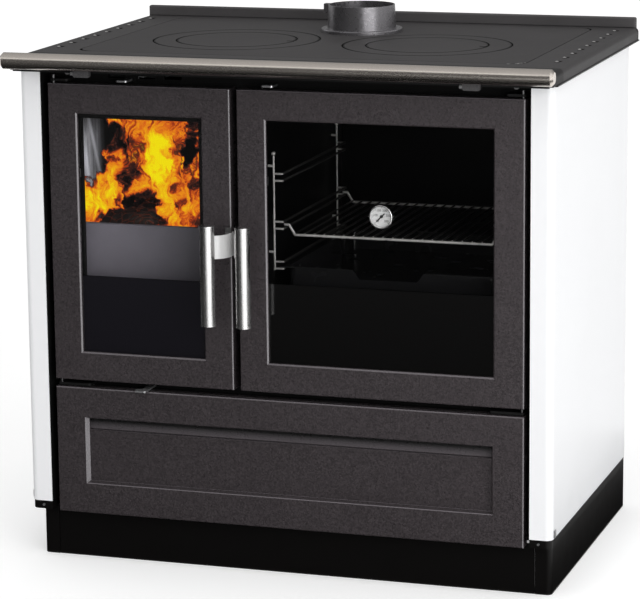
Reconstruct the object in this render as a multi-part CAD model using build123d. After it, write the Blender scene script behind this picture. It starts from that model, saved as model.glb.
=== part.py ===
from build123d import *

import os

# Wood cookstove, in millimetres. +Z is up and the doors face -Y.
# The origin lies on the floor, below the middle of the whole stove.

# ---- overall size ----
OVERALL_W = 916.0        # over the end caps of the front rail
OVERALL_D = 662.0        # front of the rail to the back of the hob
HOB_Z = 850.0            # cooking surface above the floor
FRONT_Y = -OVERALL_D / 2
BACK_Y = OVERALL_D / 2
HALF_W = OVERALL_W / 2
FIT = 0.05               # radial clearance of a pin in its hole
SLIDE_GAP = 0.5          # clearance around a sliding plate

# ---- front rail ----
RAIL_R = 13.5
RAIL_WALL = 2.0
RAIL_Y = FRONT_Y + RAIL_R
RAIL_Z = HOB_Z - 3.5
CAP_T = 6.0              # part of an end cap outside the rail
CAP_CHAMFER = 4.5
CAP_PLUG = 15.0
RAIL_STANDOFF = 3.0
CARRIER_T = 3.0
CARRIER_X = HALF_W - 12.0
CARRIER_Z = (HOB_Z - 22.5, HOB_Z - 4.0)
CARRIER_Y = (RAIL_Y + RAIL_R + RAIL_STANDOFF, RAIL_Y + RAIL_R + RAIL_STANDOFF + CARRIER_T)
LUG_X = (HALF_W - 148.0, HALF_W - 120.0)
LUG_DEPTH = 8.0
LUG_Z0 = HOB_Z - 28.5
LUG_CHAMFER = 2.2
LUG_BOLT_R = 3.0
LUG_BOLT_L = 5.0

# ---- hob ----
HOB_X = HALF_W - 6.5
HOB_T = 8.0
SKIRT_T = 5.0
SKIRT_Z = HOB_Z - 21.0
HOB_EDGE_R = 8.0         # rounding along the two sides
HOB_FRONT_Y = CARRIER_Y[1]
UPSTAND_T = 12.0
UPSTAND_H = 18.0
UPSTAND_R = 3.0
UPSTAND_IN = 2.8         # upstand narrower than the hob
LEDGE_T = 4.0            # ledge that carries the plate
LEDGE_LAP = 8.0
LEDGE_RIM = 14.0
PLATE_X = HOB_X - 72.5
PLATE_Y = (HOB_FRONT_Y + 103.0, BACK_Y - 28.0)
PLATE_R = 35.0
PLATE_GAP = 1.6
OPENING_R = 28.0         # the plate's corners are rounder than its opening's
LOUVRE_COUNT = 9
LOUVRE_X = HOB_X - 27.5
LOUVRE_Y = (FRONT_Y + 183.0, BACK_Y - 57.4)
LOUVRE_DOME_R = 4.6
LOUVRE_DOME_SINK = 2.2
LOUVRE_HOLE = (10.0, 13.0)
LOUVRE_LEAD = 12.0       # dome centre ahead of the hole's middle

# ---- hob rings ----
RINGS_X = (-170.0, 164.0)
RING_Y = PLATE_Y[0] + 204.0
RING_R = 140.0
DISC_R = 101.0
RING_GAP = 1.8
RING_STEP = 7.0          # radial width of each resting step
NOTCH = (12.0, 7.0, 4.0)

# ---- flue collar ----
COLLAR_Y = BACK_Y - 157.0
COLLAR_H = 46.0
COLLAR_BORE_R = 55.0
COLLAR_FOOT_R = 59.3
COLLAR_TOP_R = 57.4
FLANGE_R = 70.2
FLANGE_T = 6.0
FLANGE_EDGE_R = 2.0
PIPE_STOP = 4.0          # how far the plate's hole is smaller than the bore
COLLAR_LUG = (9.0, 14.0, 16.0)
COLLAR_BOLT_X = 64.5
BOLT_R = 3.0
BOLT_HEAD_R = 5.5
BOLT_HEAD_T = 4.0
BOLT_SKIN = 1.0          # flange left over each blind bolt hole
BOLT_END_GAP = 0.5

# ---- white side panels ----
PLINTH_H = 86.0
PANEL_X = HOB_X - 3.7
PANEL_T = 1.5
PANEL_RETURN = 37.0
PANEL_R = 12.0
PANEL_FRONT_Y = FRONT_Y + 57.5
PANEL_BACK_Y = BACK_Y - 61.0
PANEL_Z = (PLINTH_H + 14.0, SKIRT_Z - 2.0)
PANEL_BACK_RETURN = 15.0
SILL_INSET = 1.0
SILL_DEPTH = 20.0
SILL_STRIP = 11.0
SILL_SCREW_IN = 15.0     # screw from the inner end of the sill
SILL_SCREW_R = 1.2
SILL_SCREW_HEAD_R = 2.0
CLIP = (2.0, 10.0, 12.0)
CLIP_RISE = 2.0
TRIM_OUT = 1.8           # trim above the panels, beyond the side of the hob
TRIM_IN = 6.8
TRIM_AHEAD = 1.2

# ---- carcass ----
OPEN_X = PANEL_X - PANEL_RETURN
WALL_T = 2.0
FACE_T = 5.0
DOOR_FRONT_Y = FRONT_Y + 62.0
FACE_Y = DOOR_FRONT_Y + 37.0
INSIDE_Y = FACE_Y + FACE_T
BODY_BACK_Y = BACK_Y - 27.0
CARCASS_TOP = HOB_Z - HOB_T
PLINTH_X = PANEL_X - 7.8
PLINTH_FRONT_Y = FACE_Y - 10.0
PLINTH_T = 2.0
PLINTH_R = 9.0
PLINTH_RETURN = 27.5
PLINTH_FLANGE = 32.0
KICK_GAP = 0.8
KICK_RECESS = 1.0
BACK_X = PANEL_X - 10.8
SHEET_T = 2.0
DECK_T = 3.0
HANGER = (14.0, 40.0)    # width of each flange, and height
HANGER_T = 2.0
HANGER_IN = (90.0, 60.0) # from the panel's front and back edges
HANGER_UP = 60.0         # from the panel's lower and upper edges
WALL_FLANGE = 24.0
BACK_SLOTS = 7
BACK_SLOT_H = 8.0
BACK_SLOT_GAP = 9.0
BACK_SLOT_IN = (66.0, 60.0, 70.0)    # from the panel's sides, the plinth and the top
FLANGE_IN = (5.0, 1.0)   # front frame's side flange inside the panel's front and ends

# ---- doors and drawer, seen from the front ----
DOOR_T = 33.0
DOOR_BACK_Y = DOOR_FRONT_Y + DOOR_T
DOOR_X = OPEN_X - 10.8
DOOR_Z = (311.0, HOB_Z - 45.0)
FIRE_DOOR_W = 313.8
SEAM = 12.0
SEAM_X = -DOOR_X + FIRE_DOOR_W + SEAM / 2
FIRE_DOOR_X = (-DOOR_X, SEAM_X - SEAM / 2)
OVEN_DOOR_X = (SEAM_X + SEAM / 2, DOOR_X)
FIRE_STILES = (50.0, 48.8)       # left and right
OVEN_STILES = (48.7, 50.0)
DOOR_RAIL = 48.5
DOOR_SKIN = 8.0
DOOR_RIM = 28.0
DOOR_EDGE_R = 2.5
WINDOW_CHAMFER = 2.2
GLASS_T = 4.0
GLASS_LAP = 10.0
ROPE_W = 8.0
ROPE_IN = 20.0           # middle of the rope from the door's edge
ROPE_DEPTH = 5.0
ROPE_GAP = 0.3
CLIP_PLATE = (18.0, 14.0, 2.0)
CLIP_SCREW_R = 2.0
CLIP_HEAD_R = 3.5
CLIP_HEAD_T = 2.5
CLIP_SCREW_GRIP = 4.0
CLIP_CLEAR = 1.5
CLIP_SCREW_GAP = 0.2
CLIP_AT = (0.25, 0.75)   # heights of the clips as shares of the window
DRAWER_Z = (PLINTH_H - 3.0, DOOR_Z[0] - 13.0)
DRAWER_T = 25.0
RECESS_MARGIN = 50.5
RECESS_Z = (DRAWER_Z[0] + 51.0, DRAWER_Z[1] - 50.0)
RECESS_DEPTH = 10.0
RECESS_DRAFT = 4.0
GROOVE_H = 23.0
GROOVE_DEPTH = 18.0
GROOVE_LIP = 2.0

# ---- screws ----
SCREW_R = 2.5
SCREW_HEAD_R = 4.5
SCREW_HEAD_T = 2.5
SCREW_L = 6.5
SCREW_EDGE = 34.0        # back screws from the edge of the back panel
BACK_SCREW_IN = (24.0, 14.0)     # back screws from the plinth and from the top

# ---- hinges ----
HINGE_IN = 6.0           # pin from the door's outer edge
HINGE_Y = DOOR_FRONT_Y + 12.0
HINGE_R = 3.5
HINGE_DEEP = 14.0
HINGE_END_GAP = 2.0
HINGE_PLATE_T = 4.0
HINGE_LIFT = 3.0
HINGE_DROP = 7.0         # lower bracket below the door
HINGE_KNUCKLE = 13.0
HINGE_PLATE_L = 32.0
HINGE_LOW_L = 58.0
HINGE_FLANGE = 16.0
HINGE_LOW_FLANGE = 10.0
HINGE_ROUND = 5.0
HINGE_REACH = 5.0        # bracket beyond the pin's middle
HINGE_SCREW_IN = (16.0, 44.0)    # upper and lower screws from the pin

# ---- handles ----
HANDLE_R = 12.5
HANDLE_CAP_R = 13.3
HANDLE_WALL = 1.5
HANDLE_Y = FRONT_Y + HANDLE_CAP_R
HANDLE_OUT = 30.0        # handle centre from the middle of the seam
HANDLE_Z = (DOOR_Z[0] + 117.0, DOOR_Z[0] + 280.5)
HANDLE_CAP_T = 2.0
HANDLE_PLUG = 8.0
LEVER_T = 2.0
LEVER_Z = (HANDLE_Z[0] + 107.0, HANDLE_Z[1] - 18.5)
LEVER_GAP = 0.8          # lever to the edge of its door
LEVER_BEND_R = 32.0
LEVER_BARREL_R = 5.0
LEVER_PIVOT = (15.0, 11.0)   # pivot from the seam's middle, and behind the door face
LEVER_JOURNAL_R = 2.5
LEVER_JOURNAL_L = 10.0
LEVER_TAB = (9.8, 3.5, 9.0)
LEVER_TAB_ROOT = 6.0
LEVER_LEAD = 7.0         # straight part ahead of the door face
LEVER_BACK_GAP = 2.5
POCKET_IN = 15.0
POCKET_SKIN = 4.0
POCKET_CLEAR = 2.0
STRIKE = (2.0, 14.0, 4.0)    # width, reach, and how much shorter than the lever

# ---- control tongues ----
TONGUE_T = 3.0
TONGUE_OUT = 26.0        # how far the upper tongues stand out of the front frame
LOW_TONGUE_OUT = 50.0
TONGUE_PAD = 14.0
TONGUE_R = 4.0
STEM_W = 11.0
TOP_TONGUE_Z = HOB_Z - 41.5
LOW_TONGUE_Z = DOOR_Z[0] - 11.5
SECONDARY_X = (FIRE_DOOR_X[0] + 114.5, FIRE_DOOR_X[0] + 134.5)
BYPASS_X = (OVEN_DOOR_X[0] + 37.2, OVEN_DOOR_X[0] + 58.2)
PRIMARY_X = (FIRE_DOOR_X[0] + 144.4, FIRE_DOOR_X[0] + 164.1)
SECONDARY_PLATE_Y = (INSIDE_Y + 32.0, INSIDE_Y + 62.0)
BYPASS_PLATE_Y = (BODY_BACK_Y - 194.0, BODY_BACK_Y - 74.0)
PRIMARY_PLATE_Y = (INSIDE_Y + 37.0, INSIDE_Y + 97.0)
SECONDARY_PLATE_W = 100.0
BYPASS_PLATE_W = 120.0
PRIMARY_PLATE_W = 150.0
PORT_INSET = 10.0
VENT_IN = (107.0, 159.0, 205.0)      # middles, from the door's outer edge
VENT_SIZE = (30.0, 8.0)
VENT_Z = HOB_Z - 34.0

# ---- firebox ----
ASH_OPEN_X = (FIRE_DOOR_X[0] + 28.0, FIRE_DOOR_X[1] - 28.0)
FIRE_OPEN_X = (FIRE_DOOR_X[0] + 44.3, FIRE_DOOR_X[1] - 66.8)
FIRE_OPEN_Z = (DOOR_Z[0] + 29.0, DOOR_Z[1] - 60.5)
CASING_X = (FIRE_DOOR_X[0] + 8.0, FIRE_DOOR_X[1] - 7.0)
CASING_T = 3.0
CASING_BACK_Y = BODY_BACK_Y - 89.0
CASING_Z = (DOOR_Z[0] + 34.0, HOB_Z - 20.0)
BED_Z = DOOR_Z[0] + 169.0
BED_T = 6.0
SMOKE_OUT_H = 38.0
SMOKE_OUT_IN = (100.0, 40.0)     # from the front and the back of the casing
BRICK_T = 30.0
BRICK_TOP = CASING_Z[1] - SMOKE_OUT_H - 2.0
BRICK_R = 2.0
BRICK_GAP = 0.5
SIDE_BRICKS = 3
BACK_BRICKS = 2
BRICK_FRONT = 20.0
GRATE_T = 12.0
GRATE_IN = (9.0, 54.5)   # from the bricks at the sides, and front and back
GRATE_R = 8.0
GRATE_RIM = 14.0
GRATE_SLOTS = 11
GRATE_BAR = 9.0
GUARD_H = 89.0
GUARD_T = 10.0
GUARD_LIP = 7.0
GUARD_R = 3.0
GUARD_GAP = 1.0
ASH_H = 80.0
ASH_IN = (14.5, 20.0, 67.0)      # from the bricks, the front and the back
ASH_WALL = 1.5
ASH_GRIP = (60.0, 12.0, 14.0)
ASH_GRIP_T = 2.0

# ---- oven ----
OVEN_X = (OVEN_DOOR_X[0] + 31.0, OVEN_DOOR_X[1] - 32.0)
OVEN_Z = (DOOR_Z[0] + 141.0, DOOR_Z[1] - 31.0)
OVEN_BACK_Y = BODY_BACK_Y - 114.0
OVEN_R = 1.0
RACK_WIRE_R = 2.0
RACK_OFF = 9.3           # upright wires from the oven wall
RUNNER_OFF = 24.0        # runner wires from the oven wall
RACK_Y = (INSIDE_Y + 22.0, OVEN_BACK_Y - 57.0)
RACK_Z = (OVEN_Z[0] + 50.0, OVEN_Z[1] - (OVEN_Z[1] - OVEN_Z[0]) / 4)
RUNNER_AT = (0.013, 0.358, 0.77)     # heights of the runner pairs as shares of the rack
RUNNER_Z = [RACK_Z[0] + share * (RACK_Z[1] - RACK_Z[0]) for share in RUNNER_AT]
RUNNER_PAIR = 11.5
RACK_PIN_AT = (30.0, 20.0)   # wall pins from the ends of the uprights
RACK_BALL_R = 4.0
RACK_PIN_R = 2.5
SHELF_Z = RUNNER_Z[1] - 11.5
SHELF_IN = 40.0          # grid edge from the oven wall
SHELF_KNEE = 30.0        # upper bend of each hook from the oven wall
SHELF_Y = (INSIDE_Y + 36.0, OVEN_BACK_Y - 63.0)
SHELF_WIRE_R = 2.5
SHELF_BAR_R = 1.5
SHELF_PITCH = 16.0
TRAY_WALL = 1.5
TRAY_DEEP = 34.0
TRAY_SIDE_CLEAR = 19.0
TRAY_Y = (INSIDE_Y + 22.0, OVEN_BACK_Y - 40.0)
TRAY_DIP_W = (122.0, 97.0)       # at the rim and at the bottom of the dip
TRAY_DIP_H = 15.0
TRAY_DIP_LEFT = 6.0      # left of the oven's middle
TRAY_IN = 6.0            # tray walls from the runners and from the rim's ends
TRAY_R = 12.0
SHELF_RISE = 1.0         # bars above the frame wire

# ---- oven thermometer ----
THERMO_R = 19.25
THERMO_Z = DOOR_Z[1] - 195.0
THERMO_OUT = 4.0         # right of the window's middle
THERMO_DEEP = 10.8
THERMO_LIP = 2.0
THERMO_FLOOR = 2.5
THERMO_SEAT = 0.2        # case ahead of the pane
THERMO_EDGE_R = 1.2
DIAL_T = 0.8
LENS_T = 1.5
LENS_SINK = 1.0
NEEDLE_LIFT = 1.2        # above the dial
NEEDLE_BOSS = 0.5
NEEDLE_L = (12.0, 7.0)
NEEDLE_W = 1.8
NEEDLE_T = 0.6
NEEDLE_HUB_R = 2.5
NEEDLE_LEAN = 225.0      # cold needle, in degrees from +X towards +Z
SPINDLE_R = 0.8
STEM_R = 5.0
PROBE_R = 3.0
PROBE_L = 24.0
NUT_R = 9.0
NUT_T = 5.0
STEM_BEYOND = 3.0
STEM_GAP = 0.3           # around the stem in the pane

# ---- drawer ----
DRAWER_BOX_X = DOOR_X - 18.0
DRAWER_BOX_Z = (PLINTH_H + 10.0, DOOR_Z[0] - 71.0)
DRAWER_BOX_BACK = BODY_BACK_Y - 104.0
DRAWER_WALL = 1.5
DRAWER_OPEN_Z = (PLINTH_H + 5.0, DOOR_Z[0] - 21.0)
DRAWER_OPEN_X = DRAWER_BOX_X + 6.0
RUNNER_T = 2.0
RUNNER_H = 24.0
RUNNER_BASE_Z = DRAWER_BOX_Z[0] + 26.0
RUNNER_TAIL = 40.0       # runner behind the closed drawer
RUNNER_GAP = 1.0
SIDE_BAR = (4.0, 8.0)    # bar on the side of the drawer box
SIDE_BAR_IN = 2.0


def block(x, y, z):
    """Block from its two limits along each axis."""
    middle = Pos(sum(x) / 2, sum(y) / 2, sum(z) / 2)
    return middle * Box(x[1] - x[0], y[1] - y[0], z[1] - z[0])


def rod_x(x, y, z, r):
    return Pos(sum(x) / 2, y, z) * Rot(0, 90, 0) * Cylinder(r, x[1] - x[0])


def rod_y(x, y, z, r):
    return Pos(x, sum(y) / 2, z) * Rot(90, 0, 0) * Cylinder(r, y[1] - y[0])


def rod_z(x, y, z, r):
    return Pos(x, y, sum(z) / 2) * Cylinder(r, z[1] - z[0])


def grown(limits, by):
    """Limits moved outwards by a distance at each end."""
    return (limits[0] - by, limits[1] + by)


def rounded_block(x, y, z, r):
    solid = block(x, y, z)
    return fillet(solid.edges().filter_by(Axis.Z), r)


def other_side(part):
    return mirror(part, about=Plane.YZ)


def across_seam(part):
    """The same piece for the oven door, mirrored in the middle of the seam."""
    return mirror(part, about=Plane.YZ.offset(SEAM_X))


def group(parts):
    return Compound([solid for part in parts for solid in part.solids()])


# ---------------------------------------------------------------- hob

def hob_frame():
    back_y = BACK_Y - UPSTAND_T
    frame = block((-HOB_X, HOB_X), (HOB_FRONT_Y, back_y), (SKIRT_Z, HOB_Z))
    side_edges = frame.edges().filter_by(Axis.Y).group_by(Axis.Z)[-1]
    frame = fillet(side_edges, HOB_EDGE_R)
    inner_x = HOB_X - SKIRT_T
    under = (SKIRT_Z, HOB_Z - HOB_T)
    frame -= block((-inner_x, inner_x), (HOB_FRONT_Y + SKIRT_T, back_y), under)
    ledge_z = (HOB_Z - HOB_T - LEDGE_T, HOB_Z - HOB_T)
    rim_x = (-PLATE_X - LEDGE_RIM, PLATE_X + LEDGE_RIM)
    frame += block(rim_x, grown(PLATE_Y, LEDGE_RIM), ledge_z)
    opening = grown(PLATE_Y, PLATE_GAP)
    opening_x = PLATE_X + PLATE_GAP
    opening_z = (HOB_Z - HOB_T, HOB_Z)
    frame -= rounded_block((-opening_x, opening_x), opening, opening_z, OPENING_R)
    lap_x = PLATE_X - LEDGE_LAP
    lap_r = PLATE_R - LEDGE_LAP
    frame -= rounded_block((-lap_x, lap_x), grown(PLATE_Y, -LEDGE_LAP), ledge_z, lap_r)
    pitch = (LOUVRE_Y[1] - LOUVRE_Y[0]) / (LOUVRE_COUNT - 1)
    for side in (-1, 1):
        for i in range(LOUVRE_COUNT):
            x = side * LOUVRE_X
            y = LOUVRE_Y[0] + i * pitch
            dome = Pos(x, y - LOUVRE_LEAD, HOB_Z - LOUVRE_DOME_SINK) * Sphere(LOUVRE_DOME_R)
            above = (HOB_Z - HOB_T, HOB_Z + HOB_T)
            frame += dome & block((x - HOB_T, x + HOB_T), (y - 3 * HOB_T, y), above)
            hole_x = (x - LOUVRE_HOLE[0] / 2, x + LOUVRE_HOLE[0] / 2)
            hole_y = (y - LOUVRE_HOLE[1] / 2, y + LOUVRE_HOLE[1] / 2)
            frame -= block(hole_x, hole_y, (SKIRT_Z, HOB_Z + HOB_T))
    return frame


def hob_upstand():
    y = (BACK_Y - UPSTAND_T, BACK_Y)
    x = HOB_X - UPSTAND_IN
    strip = block((-x, x), y, (SKIRT_Z, HOB_Z + UPSTAND_H))
    top_edges = strip.edges().filter_by(Axis.Z, reverse=True).group_by(Axis.Z)[-1]
    strip = fillet(strip.edges().filter_by(Axis.Z) + top_edges, UPSTAND_R)
    base = block((-HOB_X, HOB_X), y, (SKIRT_Z, HOB_Z))
    side_edges = base.edges().filter_by(Axis.Y).group_by(Axis.Z)[-1]
    return strip + fillet(side_edges, HOB_EDGE_R)


def collar_bolt_places():
    return ((-COLLAR_BOLT_X, COLLAR_Y), (COLLAR_BOLT_X, COLLAR_Y))


def hob_plate():
    mid_z = HOB_Z - HOB_T / 2
    plate = rounded_block((-PLATE_X, PLATE_X), PLATE_Y, (HOB_Z - HOB_T, HOB_Z), PLATE_R)
    for x in RINGS_X:
        plate -= rod_z(x, RING_Y, (mid_z, HOB_Z), RING_R + RING_GAP)
        plate -= rod_z(x, RING_Y, (HOB_Z - HOB_T, mid_z), RING_R + RING_GAP - RING_STEP)
    plate -= rod_z(0, COLLAR_Y, (HOB_Z - HOB_T, HOB_Z), COLLAR_BORE_R - PIPE_STOP)
    for x, y in collar_bolt_places():
        plate -= rod_z(x, y, (HOB_Z - HOB_T, HOB_Z), BOLT_R + FIT)
    return plate


def stepped_disc(x, r):
    """Round plate whose upper half is wider, so that it rests in a stepped hole."""
    mid_z = HOB_Z - HOB_T / 2
    wide = rod_z(x, RING_Y, (mid_z, HOB_Z), r)
    return wide + rod_z(x, RING_Y, (HOB_Z - HOB_T, mid_z), r - RING_STEP)


def hob_ring(x):
    return stepped_disc(x, RING_R) - stepped_disc(x, DISC_R + RING_GAP)


def hob_disc(x):
    disc = stepped_disc(x, DISC_R)
    notch_x = (x + DISC_R - NOTCH[0], x + DISC_R + NOTCH[0])
    half = NOTCH[1] / 2
    return disc - block(notch_x, (RING_Y - half, RING_Y + half), (HOB_Z - NOTCH[2], HOB_Z))


def flue_collar():
    flange = rod_z(0, COLLAR_Y, (HOB_Z, HOB_Z + FLANGE_T), FLANGE_R)
    flange = fillet(flange.edges().group_by(Axis.Z)[-1], FLANGE_EDGE_R)
    cone_h = COLLAR_H - FLANGE_T
    cone = Pos(0, COLLAR_Y, HOB_Z + FLANGE_T + cone_h / 2) * Cone(COLLAR_FOOT_R, COLLAR_TOP_R, cone_h)
    top = HOB_Z + COLLAR_H
    lug_x = (-COLLAR_TOP_R - COLLAR_LUG[0], -COLLAR_BORE_R)
    half = COLLAR_LUG[1] / 2
    lug = block(lug_x, (COLLAR_Y - half, COLLAR_Y + half), (top - COLLAR_LUG[2], top))
    collar = flange + cone + lug
    collar -= rod_z(0, COLLAR_Y, (HOB_Z, top), COLLAR_BORE_R)
    for x, y in collar_bolt_places():
        collar -= rod_z(x, y, (HOB_Z, HOB_Z + FLANGE_T - BOLT_SKIN), BOLT_R + FIT)
    return collar


# ---------------------------------------------------------------- rail

def rail():
    length = HALF_W - CAP_T
    return rod_x((-length, length), RAIL_Y, RAIL_Z, RAIL_R) - rod_x(
        (-length, length), RAIL_Y, RAIL_Z, RAIL_R - RAIL_WALL)


def rail_caps():
    cap = rod_x((HALF_W - CAP_T, HALF_W), RAIL_Y, RAIL_Z, RAIL_R)
    cap = chamfer(cap.edges().group_by(Axis.X)[-1], CAP_CHAMFER)
    plug = (HALF_W - CAP_T - CAP_PLUG, HALF_W - CAP_T)
    cap += rod_x(plug, RAIL_Y, RAIL_Z, RAIL_R - RAIL_WALL - FIT)
    return group([other_side(cap), cap])


def rail_carrier():
    """Strip behind the rail with two lugs that reach under it, and three spacers."""
    strip = block((-CARRIER_X, CARRIER_X), CARRIER_Y, CARRIER_Z)
    clear = rod_x((-HALF_W, HALF_W), RAIL_Y, RAIL_Z, RAIL_R + FIT)
    lug = block(LUG_X, (CARRIER_Y[0] - LUG_DEPTH, CARRIER_Y[0]), (LUG_Z0, RAIL_Z))
    foot_edges = lug.edges().filter_by(Axis.Y).group_by(Axis.Z)[0]
    lug = chamfer(foot_edges, LUG_CHAMFER)
    spacer_y = (RAIL_Y, CARRIER_Y[0])
    for x in (-sum(LUG_X) / 2, 0, sum(LUG_X) / 2):
        strip += rod_y(x, spacer_y, RAIL_Z, RAIL_R / 2)
    strip += lug + other_side(lug)
    return strip - clear


def lug_bolts():
    y = CARRIER_Y[0] - LUG_DEPTH / 2
    z = LUG_Z0 + LUG_CHAMFER + LUG_BOLT_R
    head = (-LUG_X[1] - LUG_BOLT_L, -LUG_X[1])
    right = (LUG_X[0] - LUG_BOLT_L, LUG_X[0])
    return [rod_x(head, y, z, LUG_BOLT_R), rod_x(right, y, z, LUG_BOLT_R)]


# ---------------------------------------------------------------- outer case

def side_panel():
    x = (OPEN_X, PANEL_X)
    y = (PANEL_FRONT_Y, PANEL_BACK_Y)
    corner = (PANEL_X, PANEL_FRONT_Y, sum(PANEL_Z) / 2)
    panel = block(x, y, PANEL_Z)
    panel = fillet(panel.edges().filter_by(Axis.Z).sort_by_distance(corner)[0], PANEL_R)
    inner_corner = (PANEL_X - PANEL_T, PANEL_FRONT_Y + PANEL_T, sum(PANEL_Z) / 2)
    hollow = block((OPEN_X, PANEL_X - PANEL_T), grown(y, -PANEL_T), PANEL_Z)
    hollow = fillet(hollow.edges().filter_by(Axis.Z).sort_by_distance(inner_corner)[0], PANEL_R - PANEL_T)
    back_gap = (PANEL_BACK_Y - PANEL_T, PANEL_BACK_Y)
    return panel - hollow - block((OPEN_X, PANEL_X - PANEL_BACK_RETURN), back_gap, PANEL_Z)


def panel_sills():
    """Dark strip below each panel, and the thin trim between its top and the hob."""
    z = (PLINTH_H, PANEL_Z[0])
    x1 = PANEL_X - SILL_INSET
    y0 = PANEL_FRONT_Y + SILL_INSET
    front = block((OPEN_X, x1), (y0, y0 + SILL_DEPTH), z)
    sill = front + block((x1 - SILL_STRIP, x1), (y0, PANEL_BACK_Y), z)
    corner = (x1, y0, sum(z) / 2)
    sill = fillet(sill.edges().filter_by(Axis.Z).sort_by_distance(corner)[0], PANEL_R - SILL_INSET)
    sill -= rod_y(OPEN_X + SILL_SCREW_IN, (y0, y0 + SCREW_L), sum(z) / 2, SILL_SCREW_R + FIT)
    trim_y = (PANEL_FRONT_Y - TRIM_AHEAD, BACK_Y)
    trim = block((PANEL_X - TRIM_IN, HOB_X + TRIM_OUT), trim_y, (PANEL_Z[1], SKIRT_Z))
    return group([other_side(sill), sill, other_side(trim), trim])


def panel_clips():
    x = (PANEL_X, PANEL_X + CLIP[0])
    y0 = PANEL_FRONT_Y + PANEL_R
    z0 = PANEL_Z[0] + CLIP_RISE
    clip = block(x, (y0, y0 + CLIP[1]), (z0, z0 + CLIP[2]))
    return [other_side(clip), clip]


def panel_hangers():
    """Folded strips that hold each panel off the inner wall."""
    wall = OPEN_X + WALL_T
    skin = PANEL_X - PANEL_T
    hangers = []
    for y in (PANEL_FRONT_Y + HANGER_IN[0], PANEL_BACK_Y - HANGER_IN[1]):
        for z0 in (PANEL_Z[0] + HANGER_UP, PANEL_Z[1] - HANGER_UP):
            z = (z0, z0 + HANGER[1])
            web = block((wall, skin), (y, y + HANGER_T), z)
            foot = block((wall, wall + HANGER_T), (y, y + HANGER[0]), z)
            pad = block((skin - HANGER_T, skin), (y - HANGER[0], y + HANGER_T), z)
            hanger = web + foot + pad
            hangers += [other_side(hanger), hanger]
    return group(hangers)


def plinth_sides():
    x = (PLINTH_X - PLINTH_RETURN, PLINTH_X)
    y = (PLINTH_FRONT_Y, BODY_BACK_Y - SHEET_T)
    z = (0, PLINTH_H)
    inner = PLINTH_T
    side = block(x, y, z)
    corner = (PLINTH_X, PLINTH_FRONT_Y, PLINTH_H / 2)
    side = fillet(side.edges().filter_by(Axis.Z).sort_by_distance(corner)[0], PLINTH_R)
    room = block((x[0], PLINTH_X - inner), (y[0] + inner, y[1]), z)
    corner = (PLINTH_X - inner, PLINTH_FRONT_Y + inner, PLINTH_H / 2)
    side -= fillet(room.edges().filter_by(Axis.Z).sort_by_distance(corner)[0], PLINTH_R - inner)
    flange_x = (PLINTH_X - PLINTH_FLANGE, PLINTH_X - inner)
    flange_y = (y[0] + inner + KICK_RECESS + PLINTH_T, y[1])
    for flange_z in ((0, inner), (PLINTH_H - inner, PLINTH_H)):
        side += block(flange_x, flange_y, flange_z)
    return group([other_side(side), side])


def kick_panel():
    x = PLINTH_X - PLINTH_RETURN - KICK_GAP
    y0 = PLINTH_FRONT_Y + KICK_RECESS
    kick = block((-x, x), (y0, y0 + PLINTH_T), (0, PLINTH_H - PLINTH_T))
    flange_x = PLINTH_X - PLINTH_FLANGE - KICK_GAP
    foot = block((-flange_x, flange_x), (y0, y0 + PLINTH_FLANGE), (0, PLINTH_T))
    return kick + foot


def back_panel():
    y = (BODY_BACK_Y - SHEET_T, BODY_BACK_Y)
    panel = block((-BACK_X, BACK_X), y, (0, CARCASS_TOP - LEDGE_T))
    first = BACK_SLOT_IN[0] - BACK_X
    pitch = -2 * first / BACK_SLOTS
    for z in (PLINTH_H + BACK_SLOT_IN[1], CARCASS_TOP - BACK_SLOT_IN[2]):
        for i in range(BACK_SLOTS):
            slot_x = (first + i * pitch, first + (i + 1) * pitch - BACK_SLOT_GAP)
            panel -= block(slot_x, y, (z, z + BACK_SLOT_H))
    for x, z in back_screw_places():
        panel -= rod_y(x, y, z, SCREW_R + FIT)
    return panel


# ---------------------------------------------------------------- carcass

def latch_strike():
    """Blade on the seam between the doors that both levers hook behind."""
    half = STRIKE[0] / 2
    z = grown(LEVER_Z, -STRIKE[2])
    return block((SEAM_X - half, SEAM_X + half), (FACE_Y - STRIKE[1], INSIDE_Y), z)


def front_frame():
    """Plate behind the doors with side flanges and the slot that holds the strike."""
    edge = OPEN_X + WALL_T
    plate = block((-edge, edge), (FACE_Y, INSIDE_Y), (PLINTH_H, CARCASS_TOP))
    flange_x = (OPEN_X, edge)
    flange_z = grown((PANEL_Z[0], CARCASS_TOP), -FLANGE_IN[1])
    flange = block(flange_x, (PANEL_FRONT_Y + FLANGE_IN[0], FACE_Y), flange_z)
    plate += flange
    plate += other_side(flange)
    through = (FACE_Y, INSIDE_Y)
    plate -= block(FIRE_OPEN_X, through, FIRE_OPEN_Z)
    plate -= block(ASH_OPEN_X, through, (FIRE_OPEN_Z[0], BED_Z))
    plate -= block(OVEN_X, through, OVEN_Z)
    plate -= block((-DRAWER_OPEN_X, DRAWER_OPEN_X), through, DRAWER_OPEN_Z)
    vent_z = (VENT_Z - VENT_SIZE[1] / 2, VENT_Z + VENT_SIZE[1] / 2)
    for vent_in in VENT_IN:
        x = FIRE_DOOR_X[0] + vent_in
        plate -= block((x - VENT_SIZE[0] / 2, x + VENT_SIZE[0] / 2), through, vent_z)
    for pad_x, z in tongue_places():
        slot_x = grown(stem_x(pad_x), SLIDE_GAP)
        plate -= block(slot_x, through, (z - SLIDE_GAP, z + TONGUE_T + SLIDE_GAP))
    for x, y, z in hinge_screw_places():
        plate -= rod_y(x, (FACE_Y, FACE_Y + FACE_T), z, SCREW_R + FIT)
    return plate - latch_strike()


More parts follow.
